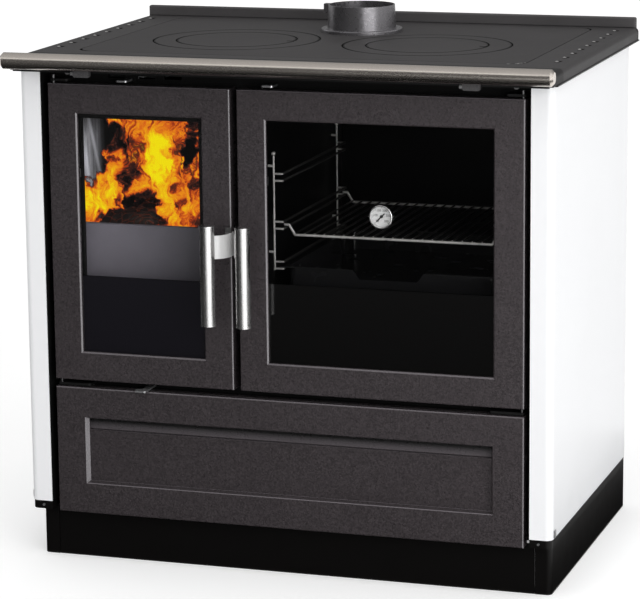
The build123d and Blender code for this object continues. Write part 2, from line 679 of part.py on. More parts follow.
def side_walls():
    """Inner walls, each with a flange that the back panel is screwed to."""
    back_y = BODY_BACK_Y - SHEET_T
    z = (PLINTH_H, CARCASS_TOP - LEDGE_T)
    wall = block((OPEN_X, OPEN_X + WALL_T), (INSIDE_Y, back_y), z)
    wall += block((OPEN_X - WALL_FLANGE, OPEN_X), (back_y - WALL_T, back_y), z)
    for x, screw_z in back_screw_places():
        wall -= rod_y(x, (back_y - WALL_T, back_y), screw_z, SCREW_R + FIT)
    return group([other_side(wall), wall])


def deck(z, x=(-OPEN_X, OPEN_X)):
    return block(x, (INSIDE_Y, BODY_BACK_Y - SHEET_T - WALL_T), z)


def body_floor():
    back_y = BODY_BACK_Y - SHEET_T - WALL_T
    return block((-OPEN_X, OPEN_X), (INSIDE_Y, back_y), (PLINTH_H, PLINTH_H + SHEET_T))


def mid_deck():
    top = LOW_TONGUE_Z - SLIDE_GAP
    half = PRIMARY_PLATE_W / 2 - PORT_INSET
    x = sum(PRIMARY_X) / 2
    port = block((x - half, x + half), grown(PRIMARY_PLATE_Y, -PORT_INSET), (top - DECK_T, top))
    return deck((top - DECK_T, top)) - port


def flue_deck():
    top = TOP_TONGUE_Z - SLIDE_GAP
    half = BYPASS_PLATE_W / 2 - PORT_INSET
    x = sum(BYPASS_X) / 2
    port = block((x - half, x + half), grown(BYPASS_PLATE_Y, -PORT_INSET), (top - DECK_T, top))
    return deck((top - DECK_T, top), (CASING_X[1], OPEN_X)) - port


# ---------------------------------------------------------------- firebox

def fire_casing():
    """Steel box with the bed that carries the grate and a ledge for the air slide."""
    y = (INSIDE_Y, CASING_BACK_Y)
    casing = block(CASING_X, y, CASING_Z)
    room_z = (CASING_Z[0] + CASING_T, CASING_Z[1])
    casing -= block(grown(CASING_X, -CASING_T), (y[0], y[1] - CASING_T), room_z)
    bed = block(CASING_X, y, (BED_Z - BED_T, BED_Z))
    hole = (grown(grate_x(), -GRATE_RIM / 2), grown(grate_y(), -GRATE_RIM / 2))
    casing += bed - block(*hole, (BED_Z - BED_T, BED_Z))
    smoke_z = (CASING_Z[1] - SMOKE_OUT_H, TOP_TONGUE_Z - SLIDE_GAP - DECK_T)
    smoke_y = (y[0] + SMOKE_OUT_IN[0], y[1] - SMOKE_OUT_IN[1])
    casing -= block((CASING_X[1] - CASING_T, CASING_X[1]), smoke_y, smoke_z)
    ledge_top = TOP_TONGUE_Z - SLIDE_GAP
    ledge_y = (INSIDE_Y, SECONDARY_PLATE_Y[1] + PORT_INSET)
    ledge = block(CASING_X, ledge_y, (ledge_top - DECK_T, ledge_top))
    half = SECONDARY_PLATE_W / 2 - PORT_INSET
    x = sum(SECONDARY_X) / 2
    port = grown(SECONDARY_PLATE_Y, -PORT_INSET)
    ledge -= block((x - half, x + half), port, (ledge_top - DECK_T, ledge_top))
    return casing + ledge


def chamber_x():
    return (CASING_X[0] + CASING_T + BRICK_T, CASING_X[1] - CASING_T - BRICK_T)


def chamber_y():
    return (INSIDE_Y, CASING_BACK_Y - CASING_T - BRICK_T)


def grate_x():
    return grown(chamber_x(), -GRATE_IN[0])


def grate_y():
    return grown(chamber_y(), -GRATE_IN[1])


def fire_bricks():
    z = (BED_Z, BRICK_TOP)
    back = (chamber_y()[1], chamber_y()[1] + BRICK_T)
    side_y = (INSIDE_Y + BRICK_FRONT, back[0] - BRICK_GAP)
    inner = grown(CASING_X, -CASING_T)
    pitch = (side_y[1] - side_y[0]) / SIDE_BRICKS
    bricks = []
    for i in range(SIDE_BRICKS):
        y = (side_y[0] + i * pitch, side_y[0] + (i + 1) * pitch - BRICK_GAP)
        bricks.append(block((inner[0], inner[0] + BRICK_T), y, z))
        bricks.append(block((inner[1] - BRICK_T, inner[1]), y, z))
    width = (inner[1] - inner[0]) / BACK_BRICKS
    for i in range(BACK_BRICKS):
        x = (inner[0] + i * width, inner[0] + (i + 1) * width - BRICK_GAP)
        bricks.append(block(x, back, z))
    return group([fillet(brick.edges().filter_by(Axis.Z), BRICK_R) for brick in bricks])


def grate():
    x = grate_x()
    y = grate_y()
    z = (BED_Z, BED_Z + GRATE_T)
    plate = rounded_block(x, y, z, GRATE_R)
    room = y[1] - y[0] - 2 * GRATE_RIM
    pitch = (room + GRATE_BAR) / GRATE_SLOTS
    middle = sum(x) / 2
    for i in range(GRATE_SLOTS):
        y0 = y[0] + GRATE_RIM + i * pitch
        slot = (y0, y0 + pitch - GRATE_BAR)
        plate -= block((x[0] + GRATE_RIM, middle - GRATE_BAR / 2), slot, z)
        plate -= block((middle + GRATE_BAR / 2, x[1] - GRATE_RIM), slot, z)
    return plate


def log_guard():
    x = grown(chamber_x(), -BRICK_GAP)
    y = (INSIDE_Y + GUARD_GAP, INSIDE_Y + GUARD_GAP + GUARD_T)
    guard = block(x, y, (BED_Z, BED_Z + GUARD_H))
    guard = fillet(guard.edges().filter_by(Axis.X).group_by(Axis.Z)[-1], GUARD_R)
    foot = block(x, (y[1], y[1] + GUARD_T), (BED_Z, BED_Z + GUARD_LIP))
    return guard + foot


def ash_pan():
    x = grown(chamber_x(), -ASH_IN[0])
    y = (INSIDE_Y + ASH_IN[1], CASING_BACK_Y - ASH_IN[2])
    z = (CASING_Z[0] + CASING_T, CASING_Z[0] + CASING_T + ASH_H)
    pan = block(x, y, z)
    pan -= block(grown(x, -ASH_WALL), grown(y, -ASH_WALL), (z[0] + ASH_WALL, z[1]))
    middle = sum(x) / 2
    grip_x = (middle - ASH_GRIP[0] / 2, middle + ASH_GRIP[0] / 2)
    grip_y = (y[0] - ASH_GRIP[1], y[0])
    grip_z = (z[1] - ASH_GRIP[2], z[1])
    grip = block(grip_x, grip_y, grip_z)
    under_z = (grip_z[0], grip_z[1] - ASH_GRIP_T)
    return pan + grip - block(grip_x, (grip_y[0] + ASH_GRIP_T, grip_y[1]), under_z)


# ---------------------------------------------------------------- oven

def oven_box():
    x = grown(OVEN_X, SHEET_T)
    z = grown(OVEN_Z, SHEET_T)
    box = block(x, (INSIDE_Y, OVEN_BACK_Y + SHEET_T), z)
    box -= block(OVEN_X, (INSIDE_Y, OVEN_BACK_Y), OVEN_Z)
    corners = box.edges().filter_by(Axis.Y).group_by(Axis.X)
    return fillet(corners[0] + corners[-1], OVEN_R)


def oven_rack():
    """Wire rack at the left wall: two uprights and three pairs of runners."""
    wall = OVEN_X[0]
    upright = wall + RACK_OFF
    runner = wall + RUNNER_OFF
    rack = rod_z(upright, RACK_Y[0], RACK_Z, RACK_WIRE_R)
    rack += rod_z(upright, RACK_Y[1], RACK_Z, RACK_WIRE_R)
    for low in RUNNER_Z:
        for z in (low, low + RUNNER_PAIR):
            rack += rod_y(runner, RACK_Y, z, RACK_WIRE_R)
            for y in RACK_Y:
                rack += rod_x((upright, runner), y, z, RACK_WIRE_R)
                rack += Pos(runner, y, z) * Sphere(RACK_WIRE_R)
    for y in RACK_Y:
        rack += Pos(upright, y, RACK_Z[1]) * Sphere(RACK_BALL_R)
        for z in (RACK_Z[0] + RACK_PIN_AT[0], RACK_Z[1] - RACK_PIN_AT[1]):
            rack += rod_x((wall, upright), y, z, RACK_PIN_R)
    return rack


def oven_racks():
    left = oven_rack()
    right = mirror(left, about=Plane.YZ.offset(sum(OVEN_X) / 2))
    return group([left, right])


def wire_between(a, b, r):
    """Round wire from a to b in a plane across the oven."""
    start = Vector(*a)
    line = Vector(*b) - start
    return Plane(origin=start, z_dir=line) * Pos(0, 0, line.length / 2) * Cylinder(r, line.length)


def wire_shelf():
    x = (OVEN_X[0] + SHELF_IN, OVEN_X[1] - SHELF_IN)
    hook_z = RUNNER_Z[1] + RACK_WIRE_R + SHELF_WIRE_R + ROPE_GAP
    hook_x = (OVEN_X[0] + RUNNER_OFF - 1, OVEN_X[1] - RUNNER_OFF + 1)
    knee_x = (OVEN_X[0] + SHELF_KNEE, OVEN_X[1] - SHELF_KNEE)
    shelf = None
    for y in SHELF_Y:
        wire = rod_x(x, y, SHELF_Z, SHELF_WIRE_R)
        for grid, knee, hook in zip(x, knee_x, hook_x):
            wire += wire_between((grid, y, SHELF_Z), (knee, y, hook_z), SHELF_WIRE_R)
            wire += rod_x(sorted((knee, hook)), y, hook_z, SHELF_WIRE_R)
            for bend_x, bend_z in ((grid, SHELF_Z), (knee, hook_z), (hook, hook_z)):
                wire += Pos(bend_x, y, bend_z) * Sphere(SHELF_WIRE_R)
        shelf = wire if shelf is None else shelf + wire
    bar_z = SHELF_Z + SHELF_WIRE_R - SHELF_BAR_R + SHELF_RISE
    count = int((x[1] - x[0]) / SHELF_PITCH)
    pitch = (x[1] - x[0]) / count
    for i in range(count + 1):
        shelf += rod_y(x[0] + i * pitch, SHELF_Y, bar_z, SHELF_BAR_R)
    return shelf


def oven_tray():
    rim_z = RUNNER_Z[0] + RACK_WIRE_R + ROPE_GAP
    x = grown(OVEN_X, -RUNNER_OFF - TRAY_IN)
    rim_x = grown(OVEN_X, -TRAY_SIDE_CLEAR)
    z = (rim_z - TRAY_DEEP, rim_z + TRAY_WALL)
    tray = rounded_block(x, grown(TRAY_Y, -TRAY_IN), z, TRAY_R)
    tray += block(rim_x, TRAY_Y, (rim_z, rim_z + TRAY_WALL))
    cup_y = grown(TRAY_Y, -TRAY_IN - TRAY_WALL)
    cup_z = (z[0] + TRAY_WALL, z[1])
    tray -= rounded_block(grown(x, -TRAY_WALL), cup_y, cup_z, TRAY_R - TRAY_WALL)
    middle = sum(OVEN_X) / 2 - TRAY_DIP_LEFT
    top, bottom = (width / 2 for width in TRAY_DIP_W)
    low = rim_z - TRAY_DIP_H
    corners = [(middle - top, z[1]), (middle - bottom, low),
               (middle + bottom, low), (middle + top, z[1])]
    deep = TRAY_IN + TRAY_WALL
    dip = Plane.XZ.offset(-TRAY_Y[0] - deep) * Polygon(*corners, align=None)
    return tray - extrude(dip, deep)


# ---------------------------------------------------------------- controls

def stem_x(pad_x):
    return (pad_x[1] - STEM_W, pad_x[1])


def tongue_places():
    return ((SECONDARY_X, TOP_TONGUE_Z), (BYPASS_X, TOP_TONGUE_Z), (PRIMARY_X, LOW_TONGUE_Z))


def air_slide(pad_x, z0, plate_y, plate_w, out=TONGUE_OUT):
    """Pull tongue, its stem through the front frame and the plate that it moves."""
    z = (z0, z0 + TONGUE_T)
    front = FACE_Y - out
    pad = block(pad_x, (front, front + TONGUE_PAD), z)
    pad = fillet(pad.edges().filter_by(Axis.Z).group_by(Axis.Y)[0], TONGUE_R)
    stem = block(stem_x(pad_x), (front + TONGUE_PAD, plate_y[0]), z)
    middle = sum(pad_x) / 2
    plate = block((middle - plate_w / 2, middle + plate_w / 2), plate_y, z)
    return pad + stem + plate


def secondary_air_slide():
    return air_slide(SECONDARY_X, TOP_TONGUE_Z, SECONDARY_PLATE_Y, SECONDARY_PLATE_W)


def bypass_damper():
    return air_slide(BYPASS_X, TOP_TONGUE_Z, BYPASS_PLATE_Y, BYPASS_PLATE_W)


def primary_air_slide():
    return air_slide(PRIMARY_X, LOW_TONGUE_Z, PRIMARY_PLATE_Y, PRIMARY_PLATE_W, LOW_TONGUE_OUT)


# ---------------------------------------------------------------- hinges

def hinge_axis_x():
    return (FIRE_DOOR_X[0] + HINGE_IN, OVEN_DOOR_X[1] - HINGE_IN)


def hinge_screw_places():
    """Screws through the flanges of the hinge brackets: x, y of the flange face, z."""
    left, right = hinge_axis_x()
    y = FACE_Y - HINGE_PLATE_T / 2
    top = DOOR_Z[1] + HINGE_LIFT + HINGE_PLATE_T + HINGE_FLANGE / 2
    low = DOOR_Z[0] - HINGE_DROP - HINGE_PLATE_T - HINGE_LOW_FLANGE / 2
    places = []
    for x, inward in ((left, 1), (right, -1)):
        places.append((x + inward * HINGE_SCREW_IN[0], y, top))
        places.append((x + inward * HINGE_SCREW_IN[1], y, low))
    return places


def hinge_brackets():
    """Top bracket: plate, flange and pin. Bottom bracket: thick plate and pin."""
    brackets = []
    hinge_x = hinge_axis_x()
    for x, inward in zip(hinge_x, (1, -1)):
        plate_x = sorted((x - inward * HINGE_REACH, x + inward * (HINGE_PLATE_L - HINGE_REACH)))
        top_z = DOOR_Z[1] + HINGE_LIFT
        top = block(plate_x, (HINGE_Y - HINGE_REACH, FACE_Y), (top_z, top_z + HINGE_PLATE_T))
        top = fillet(top.edges().filter_by(Axis.Z).group_by(Axis.Y)[0], HINGE_ROUND)
        flange_y = (FACE_Y - HINGE_PLATE_T / 2, FACE_Y)
        top += block(plate_x, flange_y, (top_z, top_z + HINGE_PLATE_T + HINGE_FLANGE))
        top += rod_z(x, HINGE_Y, (DOOR_Z[1] - HINGE_DEEP, DOOR_Z[1] + HINGE_KNUCKLE), HINGE_R)
        low_x = sorted((x - inward * HINGE_REACH, x + inward * (HINGE_LOW_L - HINGE_REACH)))
        low_z = (DOOR_Z[0] - HINGE_DROP - HINGE_PLATE_T, DOOR_Z[0] - HINGE_DROP)
        low = block(low_x, (HINGE_Y - HINGE_REACH, FACE_Y), low_z)
        low = fillet(low.edges().filter_by(Axis.Z).group_by(Axis.Y)[0], HINGE_ROUND)
        low += block(low_x, flange_y, (low_z[0] - HINGE_LOW_FLANGE, low_z[0]))
        low += rod_z(x, HINGE_Y, (low_z[0], DOOR_Z[0] + HINGE_DEEP), HINGE_R)
        brackets += [top, low]
    for i, (x, y, z) in enumerate(hinge_screw_places()):
        cut = rod_y(x, (y, FACE_Y), z, SCREW_R + FIT)
        brackets[i] -= cut
    return group(brackets)


# ---------------------------------------------------------------- doors

def window_limits(door_x, stiles):
    x = (door_x[0] + stiles[0], door_x[1] - stiles[1])
    return x, (DOOR_Z[0] + DOOR_RAIL, DOOR_Z[1] - DOOR_RAIL)


def pivot():
    """Lever pivot of the firebox door."""
    return SEAM_X - LEVER_PIVOT[0], DOOR_FRONT_Y + LEVER_PIVOT[1]


def clip_places(window):
    """Middle of each glass clip's screw: x, z and the direction to the glass."""
    (x0, x1), (z0, z1) = window
    reach = GLASS_LAP + CLIP_HEAD_R + CLIP_CLEAR
    places = []
    for share in CLIP_AT:
        z = z0 + share * (z1 - z0)
        places += [(x0 - reach, z, 1), (x1 + reach, z, -1)]
    return places


def door_frame(door_x, stiles, hinge_left):
    """Cast frame, built with its latch at the side that has no hinge."""
    y = (DOOR_FRONT_Y, DOOR_BACK_Y)
    window = window_limits(door_x, stiles)
    frame = block(door_x, y, DOOR_Z)
    frame = fillet(frame.faces().sort_by(Axis.Y)[0].edges(), DOOR_EDGE_R)
    cavity_y = (DOOR_FRONT_Y + DOOR_SKIN, DOOR_BACK_Y)
    frame -= block(grown(door_x, -DOOR_RIM), cavity_y, grown(DOOR_Z, -DOOR_RIM))
    frame -= block(window[0], y, window[1])
    front = frame.faces().filter_by(Axis.Y).sort_by(Axis.Y)[0]
    frame = chamfer(front.inner_wires()[0].edges(), WINDOW_CHAMFER)
    groove_y = (DOOR_BACK_Y - ROPE_DEPTH, DOOR_BACK_Y)
    outer = ROPE_IN - ROPE_W / 2 - ROPE_GAP
    inner = ROPE_IN + ROPE_W / 2 + ROPE_GAP
    groove = block(grown(door_x, -outer), groove_y, grown(DOOR_Z, -outer))
    groove -= block(grown(door_x, -inner), groove_y, grown(DOOR_Z, -inner))
    frame -= groove
    hinge_x = door_x[0] + HINGE_IN if hinge_left else door_x[1] - HINGE_IN
    deep = HINGE_DEEP + HINGE_END_GAP
    for z in ((DOOR_Z[0], DOOR_Z[0] + deep), (DOOR_Z[1] - deep, DOOR_Z[1])):
        frame -= rod_z(hinge_x, HINGE_Y, z, HINGE_R + FIT)
    pocket = latch_pocket()
    frame -= pocket if hinge_left else across_seam(pocket)
    skin_y = (DOOR_FRONT_Y + DOOR_SKIN - CLIP_SCREW_GRIP, DOOR_FRONT_Y + DOOR_SKIN)
    for x, z, _ in clip_places(window):
        frame -= rod_y(x, skin_y, z, CLIP_SCREW_R + FIT)
    return frame


def latch_pocket():
    """Room for the lever in the free edge of the firebox door, with its bearing."""
    edge = FIRE_DOOR_X[1]
    y = (DOOR_FRONT_Y + POCKET_SKIN, DOOR_BACK_Y)
    room = block((edge - POCKET_IN, edge), y, grown(LEVER_Z, POCKET_CLEAR))
    x, pivot_y = pivot()
    bearing_z = grown(LEVER_Z, LEVER_JOURNAL_L + POCKET_CLEAR / 2)
    return room + rod_z(x, pivot_y, bearing_z, LEVER_JOURNAL_R + FIT)


def door_glass(window, hole=None):
    y = (DOOR_FRONT_Y + DOOR_SKIN, DOOR_FRONT_Y + DOOR_SKIN + GLASS_T)
    pane = block(grown(window[0], GLASS_LAP), y, grown(window[1], GLASS_LAP))
    if hole:
        pane -= rod_y(hole[0], y, hole[1], STEM_R + STEM_GAP)
    return pane


def glass_clips(window):
    """Clips over the pane's edge, each with its screw."""
    y0 = DOOR_FRONT_Y + DOOR_SKIN + GLASS_T
    plate_y = (y0, y0 + CLIP_PLATE[2])
    screw_y = (DOOR_FRONT_Y + DOOR_SKIN - CLIP_SCREW_GRIP + CLIP_SCREW_GAP, plate_y[1])
    parts = []
    for x, z, inward in clip_places(window):
        half = CLIP_PLATE[1] / 2
        plate_x = sorted((x - inward * CLIP_HEAD_R, x + inward * (CLIP_PLATE[0] - CLIP_HEAD_R)))
        plate = block(plate_x, plate_y, (z - half, z + half))
        plate -= rod_y(x, plate_y, z, CLIP_SCREW_R + FIT)
        head_y = (plate_y[1], plate_y[1] + CLIP_HEAD_T)
        parts += [plate, rod_y(x, screw_y, z, CLIP_SCREW_R) + rod_y(x, head_y, z, CLIP_HEAD_R)]
    return group(parts)


def door_rope(door_x):
    y = (DOOR_BACK_Y - ROPE_DEPTH, FACE_Y - ROPE_GAP)
    outer = ROPE_IN - ROPE_W / 2
    inner = ROPE_IN + ROPE_W / 2
    rope = block(grown(door_x, -outer), y, grown(DOOR_Z, -outer))
    rope -= block(grown(door_x, -inner), y, grown(DOOR_Z, -inner))
    return fillet(rope.faces().sort_by(Axis.Y)[-1].edges(), ROPE_W / 4)


def handle_x():
    return SEAM_X - HANDLE_OUT


def lever():
    """Curved sheet from the handle into the seam, with its pivot in the door's edge."""
    x1 = SEAM_X - SEAM / 2 + LEVER_GAP + LEVER_T
    x0 = x1 - LEVER_T
    px, py = pivot()
    bend_y = DOOR_FRONT_Y - LEVER_LEAD
    arm = block((x0, x1), (bend_y, DOOR_BACK_Y - LEVER_BACK_GAP), LEVER_Z)
    height = LEVER_Z[1] - LEVER_Z[0]
    centre = Pos(x1 - LEVER_BEND_R, bend_y, sum(LEVER_Z) / 2)
    bend = centre * Cylinder(LEVER_BEND_R, height)
    bend -= centre * Cylinder(LEVER_BEND_R - LEVER_T, height)
    reach = (handle_x(), x1)
    bend &= block(reach, (bend_y - LEVER_BEND_R, bend_y), LEVER_Z)
    tab_y = (bend_y - LEVER_T, bend_y - LEVER_T + LEVER_TAB[1])
    tab = block((x1 - LEVER_TAB[0], x1), tab_y, (LEVER_Z[1], LEVER_Z[1] + LEVER_TAB[2]))
    tab += block((x0, x1), tab_y, (LEVER_Z[1] - LEVER_TAB_ROOT, LEVER_Z[1]))
    web = block((px, x0), (py - LEVER_T / 2, py + LEVER_T / 2), LEVER_Z)
    body = arm + bend + tab + web
    body += rod_z(px, py, LEVER_Z, LEVER_BARREL_R)
    body += rod_z(px, py, grown(LEVER_Z, LEVER_JOURNAL_L), LEVER_JOURNAL_R)
    return body - rod_z(handle_x(), HANDLE_Y, HANDLE_Z, HANDLE_R + FIT)


def handle_tube():
    z = grown(HANDLE_Z, -HANDLE_CAP_T)
    outer = rod_z(handle_x(), HANDLE_Y, z, HANDLE_R)
    return outer - rod_z(handle_x(), HANDLE_Y, z, HANDLE_R - HANDLE_WALL)


def handle_caps():
    x = handle_x()
    caps = []
    for end, inward in ((HANDLE_Z[0], 1), (HANDLE_Z[1], -1)):
        face = sorted((end, end + inward * HANDLE_CAP_T))
        plug = sorted((end + inward * HANDLE_CAP_T, end + inward * (HANDLE_CAP_T + HANDLE_PLUG)))
        cap = rod_z(x, HANDLE_Y, face, HANDLE_CAP_R)
        cap += rod_z(x, HANDLE_Y, plug, HANDLE_R - HANDLE_WALL - FIT)
        caps.append(cap)
    return group(caps)


# ---------------------------------------------------------------- thermometer

def thermo_x():
    return sum(window_limits(OVEN_DOOR_X, OVEN_STILES)[0]) / 2 + THERMO_OUT


def thermo_back_y():
    return DOOR_FRONT_Y + DOOR_SKIN - THERMO_SEAT


def thermo_case():
    back = thermo_back_y()
    front = back - THERMO_DEEP
    case = rod_y(thermo_x(), (front, back), THERMO_Z, THERMO_R)
    case = fillet(case.edges().group_by(Axis.Y)[0], THERMO_EDGE_R)
    return case - rod_y(thermo_x(), (front, back - THERMO_FLOOR), THERMO_Z, THERMO_R - THERMO_LIP)


def dial_y():
    return thermo_back_y() - THERMO_FLOOR - DIAL_T


def thermo_dial():
    y = (dial_y(), dial_y() + DIAL_T)
    disc = rod_y(thermo_x(), y, THERMO_Z, THERMO_R - THERMO_LIP - ROPE_GAP)
    return disc - rod_y(thermo_x(), y, THERMO_Z, SPINDLE_R + FIT)


def thermo_needle():
    y = (dial_y() - NEEDLE_LIFT - NEEDLE_T, dial_y() - NEEDLE_LIFT)
    bar = block((-NEEDLE_L[1], NEEDLE_L[0]), y, (-NEEDLE_W / 2, NEEDLE_W / 2))
    bar = Pos(thermo_x(), 0, THERMO_Z) * Rot(0, -NEEDLE_LEAN, 0) * bar
    hub = rod_y(thermo_x(), (y[0] - NEEDLE_BOSS, y[1]), THERMO_Z, NEEDLE_HUB_R)
    return bar + hub + rod_y(thermo_x(), (y[1], dial_y() + DIAL_T), THERMO_Z, SPINDLE_R)


def thermo_lens():
    front = thermo_back_y() - THERMO_DEEP + LENS_SINK
    return rod_y(thermo_x(), (front, front + LENS_T), THERMO_Z, THERMO_R - THERMO_LIP - ROPE_GAP)


def thermo_stem():
    """Threaded stem through the pane, its nut and the probe in the oven."""
    pane_back = DOOR_FRONT_Y + DOOR_SKIN + GLASS_T
    stem_end = pane_back + NUT_T + STEM_BEYOND
    stem = rod_y(thermo_x(), (thermo_back_y(), stem_end), THERMO_Z, STEM_R)
    nut = extrude(RegularPolygon(NUT_R, 6), NUT_T)
    nut = Pos(thermo_x(), pane_back, THERMO_Z) * Rot(-90, 0, 0) * nut
    return stem + nut + rod_y(thermo_x(), (stem_end, stem_end + PROBE_L), THERMO_Z, PROBE_R)


# ---------------------------------------------------------------- drawer

def drawer_front():
    y = (DOOR_FRONT_Y, DOOR_FRONT_Y + DRAWER_T)
    x = (-DOOR_X, DOOR_X)
    front = block(x, y, DRAWER_Z)
    front = fillet(front.faces().sort_by(Axis.Y)[0].edges(), DOOR_EDGE_R)
    recess_x = grown(x, -RECESS_MARGIN)
    width = recess_x[1] - recess_x[0]
    height = RECESS_Z[1] - RECESS_Z[0]
    sections = []
    for depth, draft in ((0, 0), (RECESS_DEPTH, 2 * RECESS_DRAFT)):
        place = Pos(0, y[0] + depth, sum(RECESS_Z) / 2) * Rot(90, 0, 0)
        sections.append(place * Rectangle(width - draft, height - draft))
    front -= loft(sections)
    groove_z = (RECESS_Z[1] - GROOVE_H, RECESS_Z[1] - RECESS_DRAFT)
    groove_x = grown(recess_x, -RECESS_DRAFT)
    return front - block(groove_x, (y[0] + GROOVE_LIP, y[0] + GROOVE_DEPTH), groove_z)


def drawer_box():
    x = (-DRAWER_BOX_X, DRAWER_BOX_X)
    y = (DOOR_FRONT_Y + DRAWER_T, DRAWER_BOX_BACK)
    box = block(x, y, DRAWER_BOX_Z)
    room_z = (DRAWER_BOX_Z[0] + DRAWER_WALL, DRAWER_BOX_Z[1])
    box -= block(grown(x, -DRAWER_WALL), grown(y, -DRAWER_WALL), room_z)
    bar_z0 = RUNNER_BASE_Z + RUNNER_T + RUNNER_GAP
    bar_x = (DRAWER_BOX_X, DRAWER_BOX_X + SIDE_BAR[0])
    bar_y = (INSIDE_Y + SIDE_BAR_IN, DRAWER_BOX_BACK)
    bar = block(bar_x, bar_y, (bar_z0, bar_z0 + SIDE_BAR[1]))
    return box + bar + other_side(bar)


def drawer_runners():
    """Folded channels on the inner walls that carry the drawer's side bars."""
    x = (DRAWER_BOX_X + RUNNER_GAP, OPEN_X)
    y = (INSIDE_Y, DRAWER_BOX_BACK + RUNNER_TAIL)
    z0 = RUNNER_BASE_Z
    shelf = block(x, y, (z0, z0 + RUNNER_T))
    web = block((OPEN_X - RUNNER_T, OPEN_X), y, (z0, z0 + RUNNER_H))
    lip = block(x, y, (z0 + RUNNER_H - RUNNER_T, z0 + RUNNER_H))
    runner = shelf + web + lip
    return group([other_side(runner), runner])


# ---------------------------------------------------------------- fasteners

def back_screw_places():
    x = BACK_X - SCREW_EDGE
    heights = (PLINTH_H + BACK_SCREW_IN[0], HOB_Z / 2, CARCASS_TOP - BACK_SCREW_IN[1])
    return [(side * x, z) for side in (-1, 1) for z in heights]


def screw(x, y, z, toward, r=SCREW_R, head_r=SCREW_HEAD_R):
    """Screw whose head rests on y and whose shank runs towards +Y or -Y."""
    shank = sorted((y, y + toward * SCREW_L))
    head = sorted((y, y - toward * SCREW_HEAD_T))
    return rod_y(x, shank, z, r) + rod_y(x, head, z, head_r)


def fasteners():
    parts = [screw(x, BODY_BACK_Y, z, -1) for x, z in back_screw_places()]
    sill_x = OPEN_X + SILL_SCREW_IN
    sill_z = (PLINTH_H + PANEL_Z[0]) / 2
    sill_y = PANEL_FRONT_Y + SILL_INSET
    for side in (-1, 1):
        parts.append(screw(side * sill_x, sill_y, sill_z, 1, SILL_SCREW_R, SILL_SCREW_HEAD_R))
    parts += [screw(x, y, z, 1) for x, y, z in hinge_screw_places()]
    parts += lug_bolts()
    for x, y in collar_bolt_places():
        under = HOB_Z - HOB_T
        shank = rod_z(x, y, (under, HOB_Z + FLANGE_T - BOLT_SKIN - BOLT_END_GAP), BOLT_R)
        head = extrude(RegularPolygon(BOLT_HEAD_R, 6), BOLT_HEAD_T)
        head = Pos(x, y, under - BOLT_HEAD_T) * head
        parts.append(shank + head)
    return group(parts + panel_clips())


# ---------------------------------------------------------------- output

FIRE_WINDOW = window_limits(FIRE_DOOR_X, FIRE_STILES)
OVEN_WINDOW = window_limits(OVEN_DOOR_X, OVEN_STILES)

NODES = {
    "hob_frame": hob_frame,
    "hob_upstand": hob_upstand,
    "hob_plate": hob_plate,
    "hob_ring_left": lambda: hob_ring(RINGS_X[0]),
    "hob_ring_right": lambda: hob_ring(RINGS_X[1]),
    "hob_disc_left": lambda: hob_disc(RINGS_X[0]),
    "hob_disc_right": lambda: hob_disc(RINGS_X[1]),
    "flue_collar": flue_collar,
    "rail": rail,
    "rail_caps": rail_caps,
    "rail_carrier": rail_carrier,
    "side_panel_left": lambda: other_side(side_panel()),
    "side_panel_right": side_panel,
    "panel_sills": panel_sills,
    "panel_hangers": panel_hangers,
    "plinth_sides": plinth_sides,
    "kick_panel": kick_panel,
    "back_panel": back_panel,
    "front_frame": front_frame,
    "latch_strike": latch_strike,
    "side_walls": side_walls,
    "body_floor": body_floor,
    "mid_deck": mid_deck,
    "flue_deck": flue_deck,
    "fire_casing": fire_casing,
    "fire_bricks": fire_bricks,
    "grate": grate,
    "log_guard": log_guard,
    "ash_pan": ash_pan,
    "oven_box": oven_box,
    "oven_racks": oven_racks,
    "wire_shelf": wire_shelf,
    "oven_tray": oven_tray,
    "secondary_air_slide": secondary_air_slide,
    "bypass_damper": bypass_damper,
    "primary_air_slide": primary_air_slide,
    "hinge_brackets": hinge_brackets,
    "fire_door_frame": lambda: door_frame(FIRE_DOOR_X, FIRE_STILES, True),
    "fire_door_glass": lambda: door_glass(FIRE_WINDOW),
    "fire_glass_clips": lambda: glass_clips(FIRE_WINDOW),
    "fire_door_rope": lambda: door_rope(FIRE_DOOR_X),
    "fire_lever": lever,
    "fire_handle_tube": handle_tube,
    "fire_handle_caps": handle_caps,
    "oven_door_frame": lambda: door_frame(OVEN_DOOR_X, OVEN_STILES, False),
    "oven_door_glass": lambda: door_glass(OVEN_WINDOW, (thermo_x(), THERMO_Z)),
    "oven_glass_clips": lambda: glass_clips(OVEN_WINDOW),
    "oven_door_rope": lambda: door_rope(OVEN_DOOR_X),
    "oven_lever": lambda: across_seam(lever()),
    "oven_handle_tube": lambda: across_seam(handle_tube()),
    "oven_handle_caps": lambda: across_seam(handle_caps()),
    "thermo_case": thermo_case,
    "thermo_dial": thermo_dial,
    "thermo_needle": thermo_needle,
    "thermo_lens": thermo_lens,
    "thermo_stem": thermo_stem,
    "drawer_front": drawer_front,
    "drawer_box": drawer_box,
    "drawer_runners": drawer_runners,
    "fasteners": fasteners,
}

os.makedirs("parts", exist_ok=True)
for name, make in NODES.items():
    export_step(make(), "parts/" + name + ".step")
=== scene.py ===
import math

import bmesh
import bpy
from mathutils import Matrix, Vector, noise


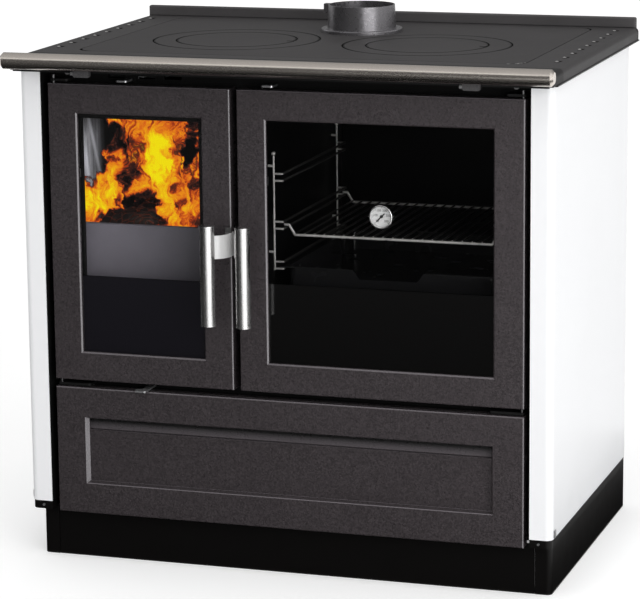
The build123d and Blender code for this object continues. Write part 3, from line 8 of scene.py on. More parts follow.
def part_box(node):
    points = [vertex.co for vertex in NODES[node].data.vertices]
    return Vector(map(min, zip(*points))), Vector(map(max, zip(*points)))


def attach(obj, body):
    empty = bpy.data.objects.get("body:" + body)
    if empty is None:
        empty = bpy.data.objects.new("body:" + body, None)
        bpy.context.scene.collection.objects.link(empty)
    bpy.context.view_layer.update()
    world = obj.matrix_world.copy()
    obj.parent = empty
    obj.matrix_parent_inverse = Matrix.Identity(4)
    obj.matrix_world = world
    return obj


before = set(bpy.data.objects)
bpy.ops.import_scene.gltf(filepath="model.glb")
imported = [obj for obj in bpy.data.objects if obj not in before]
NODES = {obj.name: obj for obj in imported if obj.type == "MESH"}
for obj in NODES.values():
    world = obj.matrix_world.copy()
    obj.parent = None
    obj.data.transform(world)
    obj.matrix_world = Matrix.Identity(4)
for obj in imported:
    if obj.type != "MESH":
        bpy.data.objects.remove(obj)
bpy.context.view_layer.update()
scene = bpy.context.scene
scene.view_settings.view_transform = "Standard"


# ---------------------------------------------------------------- shader helpers

MIX_FAC, MIX_A, MIX_B, MIX_RESULT = 0, 6, 7, 2      # colour sockets of the Mix node


class Shader:
    """A material whose nodes are built one after another."""

    def __init__(self, name):
        self.mat = bpy.data.materials.new(name)
        self.mat.use_nodes = True
        self.tree = self.mat.node_tree
        self.tree.nodes.clear()
        self.out = self.node("OutputMaterial")
        coordinates = self.node("TexCoord").outputs
        self.place = coordinates["Object"]
        self.facing = coordinates["Normal"]

    def node(self, kind, **props):
        made = self.tree.nodes.new("ShaderNode" + kind)
        for key, value in props.items():
            setattr(made, key, value)
        return made

    def put(self, socket, value):
        """Links an output, or sets a plain value."""
        if isinstance(value, bpy.types.NodeSocket):
            self.tree.links.new(value, socket)
        else:
            socket.default_value = value

    def stretched(self, scale):
        mapping = self.node("Mapping")
        self.put(mapping.inputs["Vector"], self.place)
        mapping.inputs["Scale"].default_value = scale
        return mapping.outputs["Vector"]

    def noise(self, scale, detail=2.0, rough=0.5, vector=None, distortion=0.0):
        made = self.node("TexNoise")
        self.put(made.inputs["Vector"], self.place if vector is None else vector)
        made.inputs["Scale"].default_value = scale
        made.inputs["Detail"].default_value = detail
        made.inputs["Roughness"].default_value = rough
        made.inputs["Distortion"].default_value = distortion
        return made.outputs["Fac"]

    def voronoi(self, scale, vector=None, feature="F1"):
        made = self.node("TexVoronoi", feature=feature)
        self.put(made.inputs["Vector"], self.place if vector is None else vector)
        made.inputs["Scale"].default_value = scale
        return made.outputs["Distance"]

    def ramp(self, fac, stops):
        made = self.node("ValToRGB")
        self.put(made.inputs["Fac"], fac)
        band = made.color_ramp
        while len(band.elements) < len(stops):
            band.elements.new(0.5)
        for element, (place, _) in zip(band.elements, stops):
            element.position = place
        for element, (_, colour) in zip(band.elements, stops):
            element.color = (*colour, 1)
        return made.outputs["Color"]

    def spread(self, value, low, high, to_low=0.0, to_high=1.0, smooth=False):
        """Maps low...high to to_low...to_high, and holds the ends beyond."""
        made = self.node("MapRange", interpolation_type="SMOOTHSTEP" if smooth else "LINEAR")
        for key, number in zip(("Value", "From Min", "From Max", "To Min", "To Max"),
                               (value, low, high, to_low, to_high)):
            self.put(made.inputs[key], number)
        return made.outputs["Result"]

    def maths(self, operation, a, b=0.0):
        made = self.node("Math", operation=operation)
        self.put(made.inputs[0], a)
        self.put(made.inputs[1], b)
        return made.outputs[0]

    def squares(self, a, b):
        """a * a + b * b"""
        return self.maths("ADD", self.maths("MULTIPLY", a, a), self.maths("MULTIPLY", b, b))

    def between(self, value, low, high):
        """Rises from 0 to 1 over the span low and falls back over the span high."""
        return self.maths("MULTIPLY", self.spread(value, *low),
                          self.spread(value, *high, 1.0, 0.0))

    def mix(self, fac, a, b):
        made = self.node("Mix", data_type="RGBA")
        self.put(made.inputs[MIX_FAC], fac)
        self.put(made.inputs[MIX_A], (*a, 1) if isinstance(a, tuple) else a)
        self.put(made.inputs[MIX_B], (*b, 1) if isinstance(b, tuple) else b)
        return made.outputs[MIX_RESULT]

    def axes(self, vector=None):
        made = self.node("SeparateXYZ")
        self.put(made.inputs[0], self.place if vector is None else vector)
        return made.outputs

    def joined(self, x, y, z):
        made = self.node("CombineXYZ")
        for socket, value in zip(made.inputs, (x, y, z)):
            self.put(socket, value)
        return made.outputs[0]

    def bump(self, height, distance, strength=1.0, normal=None):
        made = self.node("Bump")
        made.inputs["Strength"].default_value = strength
        made.inputs["Distance"].default_value = distance
        self.put(made.inputs["Height"], height)
        if normal is not None:
            self.put(made.inputs["Normal"], normal)
        return made.outputs["Normal"]

    def principled(self, **values):
        made = self.node("BsdfPrincipled")
        for key, value in values.items():
            socket = made.inputs[key.replace("_", " ")]
            if isinstance(value, tuple) and len(value) == 3:
                value = (*value, 1)
            self.put(socket, value)
        return made.outputs["BSDF"]

    def blend(self, fac, a, b):
        made = self.node("MixShader")
        self.put(made.inputs[0], fac)
        self.put(made.inputs[1], a)
        self.put(made.inputs[2], b)
        return made.outputs[0]

    def done(self, surface):
        self.put(self.out.inputs["Surface"], surface)
        return self.mat


def wear(colour, by):
    return tuple(min(1.0, c * by) for c in colour)


# ---------------------------------------------------------------- materials

BLACK = (0.0, 0.0, 0.0)
# painted shade for the hob's gaps
GAP_SHADE = (0.002, 0.002, 0.002)
EDGE_HIGHLIGHT = (0.335, 0.32, 0.335)           # painted highlight on edges that face right
LEDGE_HIGHLIGHT = (0.19, 0.172, 0.185)           # and painted highlight on ledges that face up
# painted light low in the drawer's finger groove, and painted shade under its lip
GROOVE_LIT = (0.120, 0.106, 0.115)
GROOVE_SHADE = (0.008, 0.008, 0.008)
NOSE_Y = (-0.2668, -0.2662)                  # tops of the front roundings, painted as lit ledges, end here
GROOVE_LIP_Y = ((-0.2596, -0.2592), (-0.2575, -0.2571))    # ends of the lip below the groove, painted as a lit ledge


def cast_paint(name, colour, rough, specular, grain, bump, fleck=1.5, metal=0.0, coarse=0.0,
               fade=None, foot=None, painted_sheen_and_wear=False, groove=None):
    """Matt stove paint or dry cast iron: fine speckle over soft cloudy variation.

    fade is a span of x and the colour's share at its end; foot is a height below which it is
    black;
    painted_sheen_and_wear paints highlights on edges that face right and on ledges that face up;
    groove is a finger groove's span of z, painted in shade at its top end under the lip and
    painted lighter as lit below, and its y.
    """
    s = Shader(name)
    clouds = s.noise(9.0, 4.0, 0.6)
    fine = s.noise(grain, 3.0, 0.65)
    base = s.mix(s.spread(clouds, 0.3, 0.7), wear(colour, 0.9), wear(colour, 1.1))
    x, y, z = s.axes()
    if coarse:
        mottle = s.spread(s.noise(400.0, 2.0, 0.6), 0.36, 0.64)
        base = s.mix(mottle, s.mix(coarse, base, wear(colour, 0.45)),
                     s.mix(coarse, base, wear(colour, 1.75)))
    speck = s.spread(fine, 0.52, 0.72, 0.0, 1.0, True)
    base = s.mix(s.maths("MULTIPLY", speck, 0.55), base, wear(colour, fleck))
    pits = s.spread(s.noise(grain * 0.6, 2.0, 0.5), 0.28, 0.42, 1.0, 0.0, True)
    base = s.mix(s.maths("MULTIPLY", pits, 0.2), base, wear(colour, 0.6))
    if painted_sheen_and_wear:
        # painted highlights: edges that face right and ledges that face up are painted lighter,
        # as if lit
        side, front, up = s.axes(s.facing)
        outward = s.spread(front, -0.1, -0.35)
        edge = s.maths("MULTIPLY", s.spread(side, 0.3, 0.85), outward)
        base = s.mix(edge, base, EDGE_HIGHLIGHT)
        nose = s.spread(y, *NOSE_Y, 1.0, 0.0)
        lip = s.between(y, *GROOVE_LIP_Y)
        thin = s.maths("MULTIPLY", s.spread(up, 0.3, 0.9), s.maths("MAXIMUM", nose, lip))
        base = s.mix(thin, base, LEDGE_HIGHLIGHT)
    if groove:
        # painted shade under the groove's lip at its top, fading to painted light lower down
        low, high, depth = groove
        groove_shading = s.mix(s.spread(z, low, high), GROOVE_LIT, GROOVE_SHADE)
        within = s.between(z, (low - 0.0018, low - 0.0014), (high + 0.006, high + 0.007))
        behind = s.maths("MULTIPLY", within, s.spread(y, depth, depth + 0.001))
        base = s.mix(behind, base, groove_shading)
    if fade:
        base = s.mix(s.spread(x, fade[0], fade[1], 0.0, 1.0 - fade[2]), base, BLACK)
    if foot:
        base = s.mix(s.spread(z, foot, foot + 0.0015, 0.85, 0.0), base, BLACK)
    roughness = s.spread(s.noise(grain * 0.25, 2.0), 0.3, 0.7, rough - 0.06, rough + 0.06)
    normal = s.bump(fine, bump)
    normal = s.bump(s.noise(70.0, 2.0), bump * 1.5, 0.6, normal)
    return s.done(s.principled(Base_Color=base, Roughness=roughness, Normal=normal,
                               Metallic=metal, Specular_IOR_Level=specular))


HOB_TOP = 0.850
RAIL_SHADOW_Y = -0.234      # end of the painted shadow of the rail on the hob behind it
BURNISHED = (0.66, 0.65, 0.64)


def ring_gaps():
    """Middle (x, y) and radius of the gap round each hob ring and disc."""
    found = []
    for name in ("hob_ring_left", "hob_ring_right", "hob_disc_left", "hob_disc_right"):
        low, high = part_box(name)
        found.append(((low.x + high.x) / 2, (low.y + high.y) / 2, (high.x - low.x) / 2))
    return found


def ground_iron(name, colour, rough, specular, gap_x=1.0, painted_sheen_and_wear=None):
    """Hob iron: ground flat, smoky clouds, painted shade in and round the gaps, tops of raised
    parts burnished.

    Within gap_x of the middle the plate's gap is painted dark as shade; painted_sheen_and_wear is
    the middle and radius of a corner whose rim is chipped bright.
    """
    s = Shader(name)

    def distance(middle):
        dx = s.maths("SUBTRACT", x, middle[0])
        dy = s.maths("SUBTRACT", y, middle[1])
        return dx, dy, s.maths("SQRT", s.squares(dx, dy))

    clouds = s.noise(7.0, 5.0, 0.6, distortion=0.4)
    fine = s.noise(1300.0, 2.0, 0.6)
    x, y, z = s.axes()
    base = s.mix(s.spread(clouds, 0.3, 0.7), wear(colour, 0.83), wear(colour, 1.17))
    speck = s.spread(fine, 0.5, 0.75, 0.0, 0.6, True)
    base = s.mix(speck, base, wear(colour, 1.5))
    scratches = s.noise(60.0, 3.0, 0.7, s.stretched((1.0, 30.0, 1.0)))
    base = s.mix(s.spread(scratches, 0.62, 0.8, 0.0, 0.35), base, wear(colour, 1.7))
    # painted shade on the walls and seats of the plate's gap
    inside = s.spread(s.maths("ABSOLUTE", x), gap_x - 0.0005, gap_x + 0.0005, 1.0, 0.0)
    low = s.spread(z, HOB_TOP - 0.0012, HOB_TOP - 0.0005, 1.0, 0.0)
    base = s.mix(s.maths("MULTIPLY", inside, low), base, GAP_SHADE)
    worn = s.spread(z, HOB_TOP + 0.0011, HOB_TOP + 0.0019)
    if painted_sheen_and_wear:
        dx, dy, far = distance(painted_sheen_and_wear)
        rim = s.spread(far, painted_sheen_and_wear[2] - 0.0018, painted_sheen_and_wear[2] - 0.0012)
        sector = s.maths("MULTIPLY", s.spread(dx, 0.002, 0.006), s.spread(dy, -0.008, -0.014))
        chips = s.spread(s.noise(110.0, 1.0), 0.5, 0.56)
        rim = s.maths("MULTIPLY", s.maths("MULTIPLY", rim, sector), chips)
        worn = s.maths("MAXIMUM", worn, rim)
    # painted shade round each ring's gap, widening its dark line
    for gap in ring_gaps():
        off = s.maths("ABSOLUTE", s.maths("SUBTRACT", distance(gap)[2], gap[2]))
        base = s.mix(s.spread(off, 0.0016, 0.0034, 0.85, 0.0, True), base, GAP_SHADE)
    # painted shadow of the rail on the hob's front strip
    front = s.spread(y, RAIL_SHADOW_Y, RAIL_SHADOW_Y + 0.006, 0.6, 0.0)
    base = s.mix(front, base, BLACK)
    base = s.mix(worn, base, BURNISHED)
    roughness = s.spread(clouds, 0.3, 0.7, rough - 0.05, rough + 0.07)
    roughness = s.spread(worn, 0.0, 1.0, roughness, 0.34)
    normal = s.bump(fine, 0.00006)
    normal = s.bump(scratches, 0.00003, 0.5, normal)
    return s.done(s.principled(Base_Color=base, Roughness=roughness, Normal=normal,
                               Metallic=worn, Specular_IOR_Level=specular))


LUG_Y = (-0.3015, -0.3012)      # the carrier's lugs stand in front of its strip


def carrier_paint(name):
    """Rail carrier: black strip with rough grey lugs."""
    s = Shader(name)
    _, y, _ = s.axes()
    lug = s.spread(y, *LUG_Y, 1.0, 0.0)
    grit = s.noise(800.0, 3.0, 0.7)
    grey = s.mix(s.spread(grit, 0.35, 0.65), (0.03, 0.029, 0.03), (0.095, 0.092, 0.094))
    base = s.mix(lug, (0.004, 0.004, 0.004), grey)
    return s.done(s.principled(Base_Color=base, Roughness=s.spread(grit, 0.3, 0.7, 0.4, 0.6),
                               Normal=s.bump(grit, 0.0002), Specular_IOR_Level=0.3))


def hinge_steel(name, pin, pin_r):
    """Hinge brackets: matt black plates with a bright pin."""
    s = Shader(name)
    x, y, _ = s.axes()
    along = s.maths("SUBTRACT", s.maths("ABSOLUTE", x), pin[0])
    back = s.maths("SUBTRACT", y, pin[1])
    off = s.maths("SQRT", s.squares(along, back))
    bright = s.spread(off, pin_r, pin_r + 0.0004, 1.0, 0.0)
    grain = s.noise(1.0, 3.0, 0.6, s.stretched((200.0, 200.0, 900.0)))
    steel = s.mix(grain, (0.05, 0.05, 0.052), (0.14, 0.14, 0.14))
    base = s.mix(bright, (0.008, 0.008, 0.008), steel)
    return s.done(s.principled(Base_Color=base, Metallic=bright, Normal=s.bump(grain, 0.00005),
                               Roughness=s.spread(bright, 0.0, 1.0, 0.55, 0.3),
                               Specular_IOR_Level=0.2))


def enamel(name, colour, rough, peel=0.00003, specular=0.5):
    """Vitreous enamel or powder coat: even colour over a faint orange peel."""
    s = Shader(name)
    tint = s.mix(s.spread(s.noise(4.0, 2.0), 0.35, 0.65), wear(colour, 0.985), colour)
    specks = s.spread(s.noise(1500.0, 1.0), 0.66, 0.74, 0.0, 0.12)
    tint = s.mix(specks, tint, wear(colour, 0.8))
    roughness = s.spread(s.noise(25.0, 2.0), 0.3, 0.7, rough - 0.02, rough + 0.03)
    normal = s.bump(s.noise(260.0, 1.0), peel)
    return s.done(s.principled(Base_Color=tint, Roughness=roughness, Normal=normal,
                               Specular_IOR_Level=specular))


def brushed(name, colour, rough, lines, strength=0.00002, contrast=0.16, metal=1.0, top=None):
    """Brushed steel; lines is the stretch of its grain along X, Y and Z.

    Above the height top it is browned by heat.
    """
    s = Shader(name)
    vector = s.stretched(lines)
    grain = s.noise(1.0, 3.0, 0.7, vector)
    smudge = s.noise(14.0, 3.0, 0.6)
    base = s.mix(grain, wear(colour, 1 - contrast), wear(colour, 1 + contrast))
    base = s.mix(s.spread(smudge, 0.45, 0.75, 0.0, 0.25), base, wear(colour, 0.85))
    if top:
        base = s.mix(s.spread(s.axes()[2], top, top + 0.0006), base, wear(colour, 0.07))
    roughness = s.spread(grain, 0.25, 0.75, rough - contrast / 3, rough + contrast / 2)
    normal = s.bump(grain, strength)
    return s.done(s.principled(Base_Color=base, Roughness=roughness, Normal=normal,
                               Metallic=metal))


def front_lit_wire(name, side, front):
    """Plated wire, painted light where it faces the door as if lit from the front, and painted in
    shade on its other sides.
    """
    s = Shader(name)
    faced = s.axes(s.facing)[1]
    shine = s.spread(faced, -0.35, -0.95, 0.0, 1.0, True)
    stain = s.noise(90.0, 3.0, 0.6)
    base = s.mix(shine, side, front)
    base = s.mix(s.spread(stain, 0.45, 0.7, 0.0, 0.4), base, wear(side, 1.2))
    return s.done(s.principled(Base_Color=base, Roughness=s.spread(stain, 0.3, 0.7, 0.28, 0.42),
                               Metallic=0.3, Normal=s.bump(stain, 0.00008)))


def sheet_metal(name, colour, rough):
    """Bare or zinc-plated sheet, with cloudy spangle."""
    s = Shader(name)
    cells = s.voronoi(55.0)
    clouds = s.noise(12.0, 4.0, 0.6)
    base = s.mix(s.spread(cells, 0.0, 0.9), wear(colour, 0.82), wear(colour, 1.12))
    base = s.mix(s.spread(clouds, 0.45, 0.7, 0.0, 0.5), base, wear(colour, 0.7))
    roughness = s.spread(clouds, 0.3, 0.7, rough - 0.08, rough + 0.1)
    normal = s.bump(s.noise(180.0, 3.0), 0.00005)
    return s.done(s.principled(Base_Color=base, Roughness=roughness, Normal=normal,
                               Metallic=0.85))


LEFT_LINING_X = (-0.352, -0.350)
LINING_REAR_Y = (-0.175, -0.120)     # black towards the back, with soot and painted shade
LINING_SOOT_Z = (0.700, 0.752)       # and towards the top
LINING_LIT_Y = (-0.20, -0.13)        # lit by the fire near the door
# Point (y, z) on each pale scrape of the left lining, its slope and its width.
SCRAPES = (((-0.2165, 0.7198), -4.99, 0.050), ((-0.1899, 0.7259), -2.24, 0.024))


def brick(name):
    """Grey lining stone: sandy grain, vertical scrape marks, soot towards the top, soot and
    painted shade towards the back, a painted glow of firelight near the door.
    """
    s = Shader(name)
    sand = s.noise(420.0, 3.0, 0.7)
    clouds = s.noise(16.0, 4.0, 0.6)
    streaks = s.noise(1.0, 4.0, 0.6, s.stretched((70.0, 70.0, 6.0)))
    base = s.ramp(streaks, [(0.3, (0.10, 0.10, 0.115)), (0.5, (0.24, 0.24, 0.265)),
                            (0.68, (0.46, 0.46, 0.50))])
    base = s.mix(s.spread(sand, 0.4, 0.7, 0.0, 0.5), base, (0.33, 0.32, 0.32))
    base = s.mix(s.spread(clouds, 0.45, 0.75, 0.0, 0.7), base, (0.07, 0.066, 0.064))
    x, y, z = s.axes()
    # soot and painted shade towards the back of the firebox
    rear = s.spread(y, *LINING_REAR_Y, 0.0, 0.93, True)
    base = s.mix(rear, base, (0.006, 0.005, 0.005))
    left = s.spread(x, *LEFT_LINING_X, 0.8, 0.0)
    for start, slope, width in SCRAPES:
        up = s.maths("SUBTRACT", z, start[1])
        over = s.maths("MULTIPLY", s.maths("SUBTRACT", y, start[0]), slope)
        off = s.maths("ABSOLUTE", s.maths("SUBTRACT", up, over))
        scrape = s.maths("MULTIPLY", left, s.spread(off, 0.0, width, 1.0, 0.0, True))
        base = s.mix(scrape, base, (0.64, 0.64, 0.69))
    soot = s.spread(z, *LINING_SOOT_Z, 0.0, 0.88, True)
    base = s.mix(soot, base, (0.02, 0.019, 0.018))
    normal = s.bump(s.maths("ADD", sand, s.maths("MULTIPLY", streaks, 0.6)), 0.0006)
    # painted glow of firelight on the lining near the door
    lit = s.spread(y, *LINING_LIT_Y, 0.42, 0.0)
    return s.done(s.principled(Base_Color=base, Roughness=0.9, Normal=normal,
                               Specular_IOR_Level=0.2, Emission_Color=base,
                               Emission_Strength=lit))


def rope(name):
    """Knitted glass rope: a fine braid across the strand."""
    s = Shader(name)
    x, y, z = s.axes()
    turns = 1400.0
    a = s.maths("SINE", s.maths("MULTIPLY", s.maths("ADD", x, z), turns))
    b = s.maths("SINE", s.maths("MULTIPLY", s.maths("SUBTRACT", x, z), turns))
    braid = s.maths("MAXIMUM", a, b)
    base = s.mix(s.spread(braid, -0.2, 1.0), (0.05, 0.05, 0.05), (0.16, 0.155, 0.15))
    base = s.mix(s.spread(s.noise(30.0, 3.0), 0.4, 0.7, 0.0, 0.6), base, (0.035, 0.034, 0.033))
    normal = s.bump(braid, 0.0006)
    return s.done(s.principled(Base_Color=base, Roughness=0.95, Normal=normal,
                               Sheen_Weight=0.3))


def glass(name, tint, print_below=None, print_colour=None, shine=0.95):
    """Flat clear glass. Below a height it has a black print; shine is its mirror's level."""
    s = Shader(name)
    smear = s.spread(s.noise(6.0, 4.0, 0.6), 0.35, 0.75, 0.015, 0.05)
    mirror = s.node("BsdfGlossy")
    mirror.inputs["Color"].default_value = (shine, shine, shine, 1)
    s.put(mirror.inputs["Roughness"], smear)
    clear = s.node("BsdfTransparent")
    clear.inputs["Color"].default_value = (*tint, 1)
    slant = s.maths("POWER", s.node("LayerWeight").outputs["Facing"], 5.0)
    share = s.spread(slant, 0.0, 1.0, 0.035, 1.0)
    surface = s.blend(share, clear.outputs[0], mirror.outputs[0])
    if print_below is not None:
        dots = s.noise(2500.0, 1.0)
        inked = s.spread(s.axes()[2], print_below - 0.0004, print_below + 0.0004, 1.0, 0.0)
        ink = s.mix(dots, print_colour, wear(print_colour, 1.3))
        backed = s.principled(Base_Color=ink, Roughness=0.08)
        surface = s.blend(inked, surface, backed)
    return s.done(surface)


HOB = (0.047, 0.0445, 0.0455)
DOOR = (0.040, 0.0334, 0.036)
DOOR_SHADE_FADE = (0.46, -0.42, 0.86)      # painted shade, darkening from the right edge to the left one, away from the light
GUARD_FADE = (-0.36, -0.13, 0.3)     # from its left end to its right one
GROOVE = (0.227, 0.2395, -0.2565)    # finger groove of the drawer
CHIPPED_CORNER = (0.344, -0.160, 0.035)      # front right corner of the hob plate
PLATE_X = 0.435                      # half width within which the frame meets the plate
HINGE_PIN = (0.394, -0.257)
PIN_R = 0.0037
FIRE_PRINT = (0.0052, 0.0047, 0.007)         # black print on the glass
FIRE_PRINT_TOP = 0.4865                      # and its upper edge
OVEN_PRINT = (0.0014, 0.0013, 0.0013)
OVEN_PRINT_TOP = 0.490
STEEL = (0.68, 0.625, 0.57)
LEVER_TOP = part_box("fire_lever")[1].z - 0.010      # the tab stands above it

M = {
    "hob_iron": ground_iron("hob_iron", HOB, 0.55, 0.12),
    "plate_iron": ground_iron("plate_iron", HOB, 0.55, 0.12, painted_sheen_and_wear=CHIPPED_CORNER),
    "hob_frame_iron": ground_iron("hob_frame_iron", HOB, 0.5, 0.14, PLATE_X),
    "hob_edge": cast_paint("hob_edge", wear(HOB, 1.4), 0.55, 0.25, 1000.0, 0.00008,
                           foot=HOB_TOP + 0.0005),
    "collar_iron": cast_paint("collar_iron", (0.21, 0.203, 0.214), 0.30, 0.5, 800.0,
                              0.00005, 1.1, 0.85),
    "door_paint": cast_paint("door_paint", DOOR, 0.31, 0.5, 850.0, 0.0002, 2.0, coarse=0.6,
                             fade=DOOR_SHADE_FADE, painted_sheen_and_wear=True),
    "drawer_paint": cast_paint("drawer_paint", DOOR, 0.31, 0.5, 850.0, 0.0002, 2.0, coarse=0.6,
                               fade=DOOR_SHADE_FADE, painted_sheen_and_wear=True, groove=GROOVE),
    "carrier": carrier_paint("carrier"),
    "white": enamel("white_enamel", (0.925, 0.93, 0.945), 0.3),
    "plinth": enamel("plinth_black", (0.0045, 0.004, 0.0038), 0.35, 0.00002, 0.2),
    "matt_black": cast_paint("matt_black", (0.006, 0.006, 0.006), 0.6, 0.15, 900.0, 0.00008),
    "rail": brushed("rail_steel", STEEL, 0.24, (10.0, 900.0, 900.0), 0.000001, 0.04),
    "handle": brushed("handle_steel", (0.72, 0.715, 0.71), 0.24, (500.0, 500.0, 14.0), 0.00001),
    "lever": brushed("lever_steel", (0.92, 0.915, 0.91), 0.36, (400.0, 400.0, 12.0), metal=0.15,
                     top=LEVER_TOP),
    "sheet": sheet_metal("sheet_steel", (0.32, 0.32, 0.325), 0.42),
    "zinc": sheet_metal("zinc_plate", (0.55, 0.55, 0.56), 0.32),
    "oven_enamel": enamel("oven_enamel", (0.002, 0.002, 0.0021), 0.3, 0.00005, 0.15),
    "tray": enamel("tray_enamel", (0.014, 0.014, 0.015), 0.25, 0.00005),
    "wire": front_lit_wire("oven_wire", (0.05, 0.048, 0.047), (0.76, 0.745, 0.72)),
    "hinge": hinge_steel("hinge_steel", HINGE_PIN, PIN_R),
    "brick": brick("lining_stone"),
    "guard": cast_paint("guard_iron", (0.232, 0.217, 0.254), 0.5, 0.3, 650.0, 0.0002, 1.35,
                        fade=GUARD_FADE),
    "soot_iron": cast_paint("soot_iron", (0.02, 0.019, 0.019), 0.75, 0.1, 500.0, 0.0003),
    "rope": rope("rope_seal"),
    "fire_glass": glass("fire_glass", (0.97, 0.97, 0.97), FIRE_PRINT_TOP, FIRE_PRINT, 0.55),
    "oven_glass": glass("oven_glass", (0.92, 0.92, 0.92), OVEN_PRINT_TOP, OVEN_PRINT, 0.10),
    "lens": glass("dial_lens", (0.97, 0.97, 0.97)),
    "dial": enamel("dial_white", (0.82, 0.82, 0.82), 0.4),
    "dial_rim": brushed("dial_rim", (0.9, 0.895, 0.89), 0.2, (300.0, 300.0, 300.0)),
    "ink": enamel("dial_ink", (0.004, 0.004, 0.004), 0.5),
}

WEARS = {
    "plate_iron": ["hob_plate"],
    "hob_iron": ["hob_ring_left", "hob_ring_right", "hob_disc_left", "hob_disc_right"],
    "hob_frame_iron": ["hob_frame"],
    "hob_edge": ["hob_upstand"],
    "collar_iron": ["flue_collar"],
    "door_paint": ["fire_door_frame", "oven_door_frame"],
    "drawer_paint": ["drawer_front"],
    "carrier": ["rail_carrier"],
    "white": ["side_panel_left", "side_panel_right"],
    "plinth": ["plinth_sides", "kick_panel", "panel_sills"],
    "matt_black": ["front_frame"],
    "hinge": ["hinge_brackets"],
    "rail": ["rail", "rail_caps"],
    "handle": ["fire_handle_tube", "fire_handle_caps", "oven_handle_tube",
               "oven_handle_caps"],
    "lever": ["fire_lever", "oven_lever"],
    "sheet": ["back_panel", "side_walls", "body_floor", "mid_deck", "flue_deck",
              "panel_hangers", "drawer_box", "drawer_runners", "ash_pan"],
    "zinc": ["fasteners", "fire_glass_clips", "oven_glass_clips", "thermo_stem",
             "latch_strike", "secondary_air_slide", "bypass_damper", "primary_air_slide"],
    "soot_iron": ["fire_casing", "grate"],
    "guard": ["log_guard"],
    "brick": ["fire_bricks"],
    "oven_enamel": ["oven_box"],
    "tray": ["oven_tray"],
    "wire": ["oven_racks", "wire_shelf"],
    "rope": ["fire_door_rope", "oven_door_rope"],
    "fire_glass": ["fire_door_glass"],
    "oven_glass": ["oven_door_glass"],
    "lens": ["thermo_lens"],
    "dial": ["thermo_dial"],
    "dial_rim": ["thermo_case"],
    "ink": ["thermo_needle"],
}
for key, names in WEARS.items():
    for name in names:
        slots = NODES[name].data.materials
        if not slots:
            slots.append(M[key])
        for i in range(len(slots)):
            slots[i] = M[key]
unpainted = set(NODES) - {n for names in WEARS.values() for n in names}
if unpainted:
    raise SystemExit("no material for " + ", ".join(sorted(unpainted)))


# ---------------------------------------------------------------- mesh helpers

def make_object(name, mesh_maker, material, body):
    """New piece from a bmesh, riding on a body."""
    data = bpy.data.meshes.new(name)
    shape = bmesh.new()
    mesh_maker(shape)
    shape.to_mesh(data)
    shape.free()
    piece = bpy.data.objects.new(name, data)
    scene.collection.objects.link(piece)
    data.materials.append(material)
    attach(piece, body)
    return piece


def skin(shape, rows):
    """Smooth faces between rows of vertices."""
    for low, high in zip(rows, rows[1:]):
        for i in range(len(low) - 1):
            shape.faces.new((low[i], low[i + 1], high[i + 1], high[i])).smooth = True


# ---------------------------------------------------------------- fire

# Middle (x, z), half width, half height and heat of each lick or pocket on the front sheet.
LICKS = (
    (-0.232, 0.684, 0.030, 0.050, 0.27), (-0.228, 0.728, 0.024, 0.026, 0.10),
    (-0.264, 0.632, 0.020, 0.018, 0.13), (-0.262, 0.728, 0.040, 0.022, 0.04),
    (-0.316, 0.733, 0.012, 0.016, 0.08), (-0.346, 0.590, 0.028, 0.034, 0.20),
    (-0.312, 0.625, 0.010, 0.050, 0.12), (-0.215, 0.596, 0.011, 0.034, 0.05),
    (-0.307, 0.706, 0.018, 0.024, -0.19), (-0.285, 0.652, 0.020, 0.026, -0.14),
    (-0.262, 0.604, 0.034, 0.026, -0.27), (-0.176, 0.692, 0.015, 0.040, -0.31),
    (-0.160, 0.738, 0.022, 0.018, -0.31), (-0.350, 0.638, 0.016, 0.020, -0.22),
    (-0.350, 0.700, 0.034, 0.062, -0.75), (-0.280, 0.570, 0.064, 0.026, -0.75),
    (-0.193, 0.600, 0.016, 0.012, -0.13), (-0.172, 0.640, 0.012, 0.014, -0.13),
    (-0.205, 0.634, 0.010, 0.010, -0.10),
)


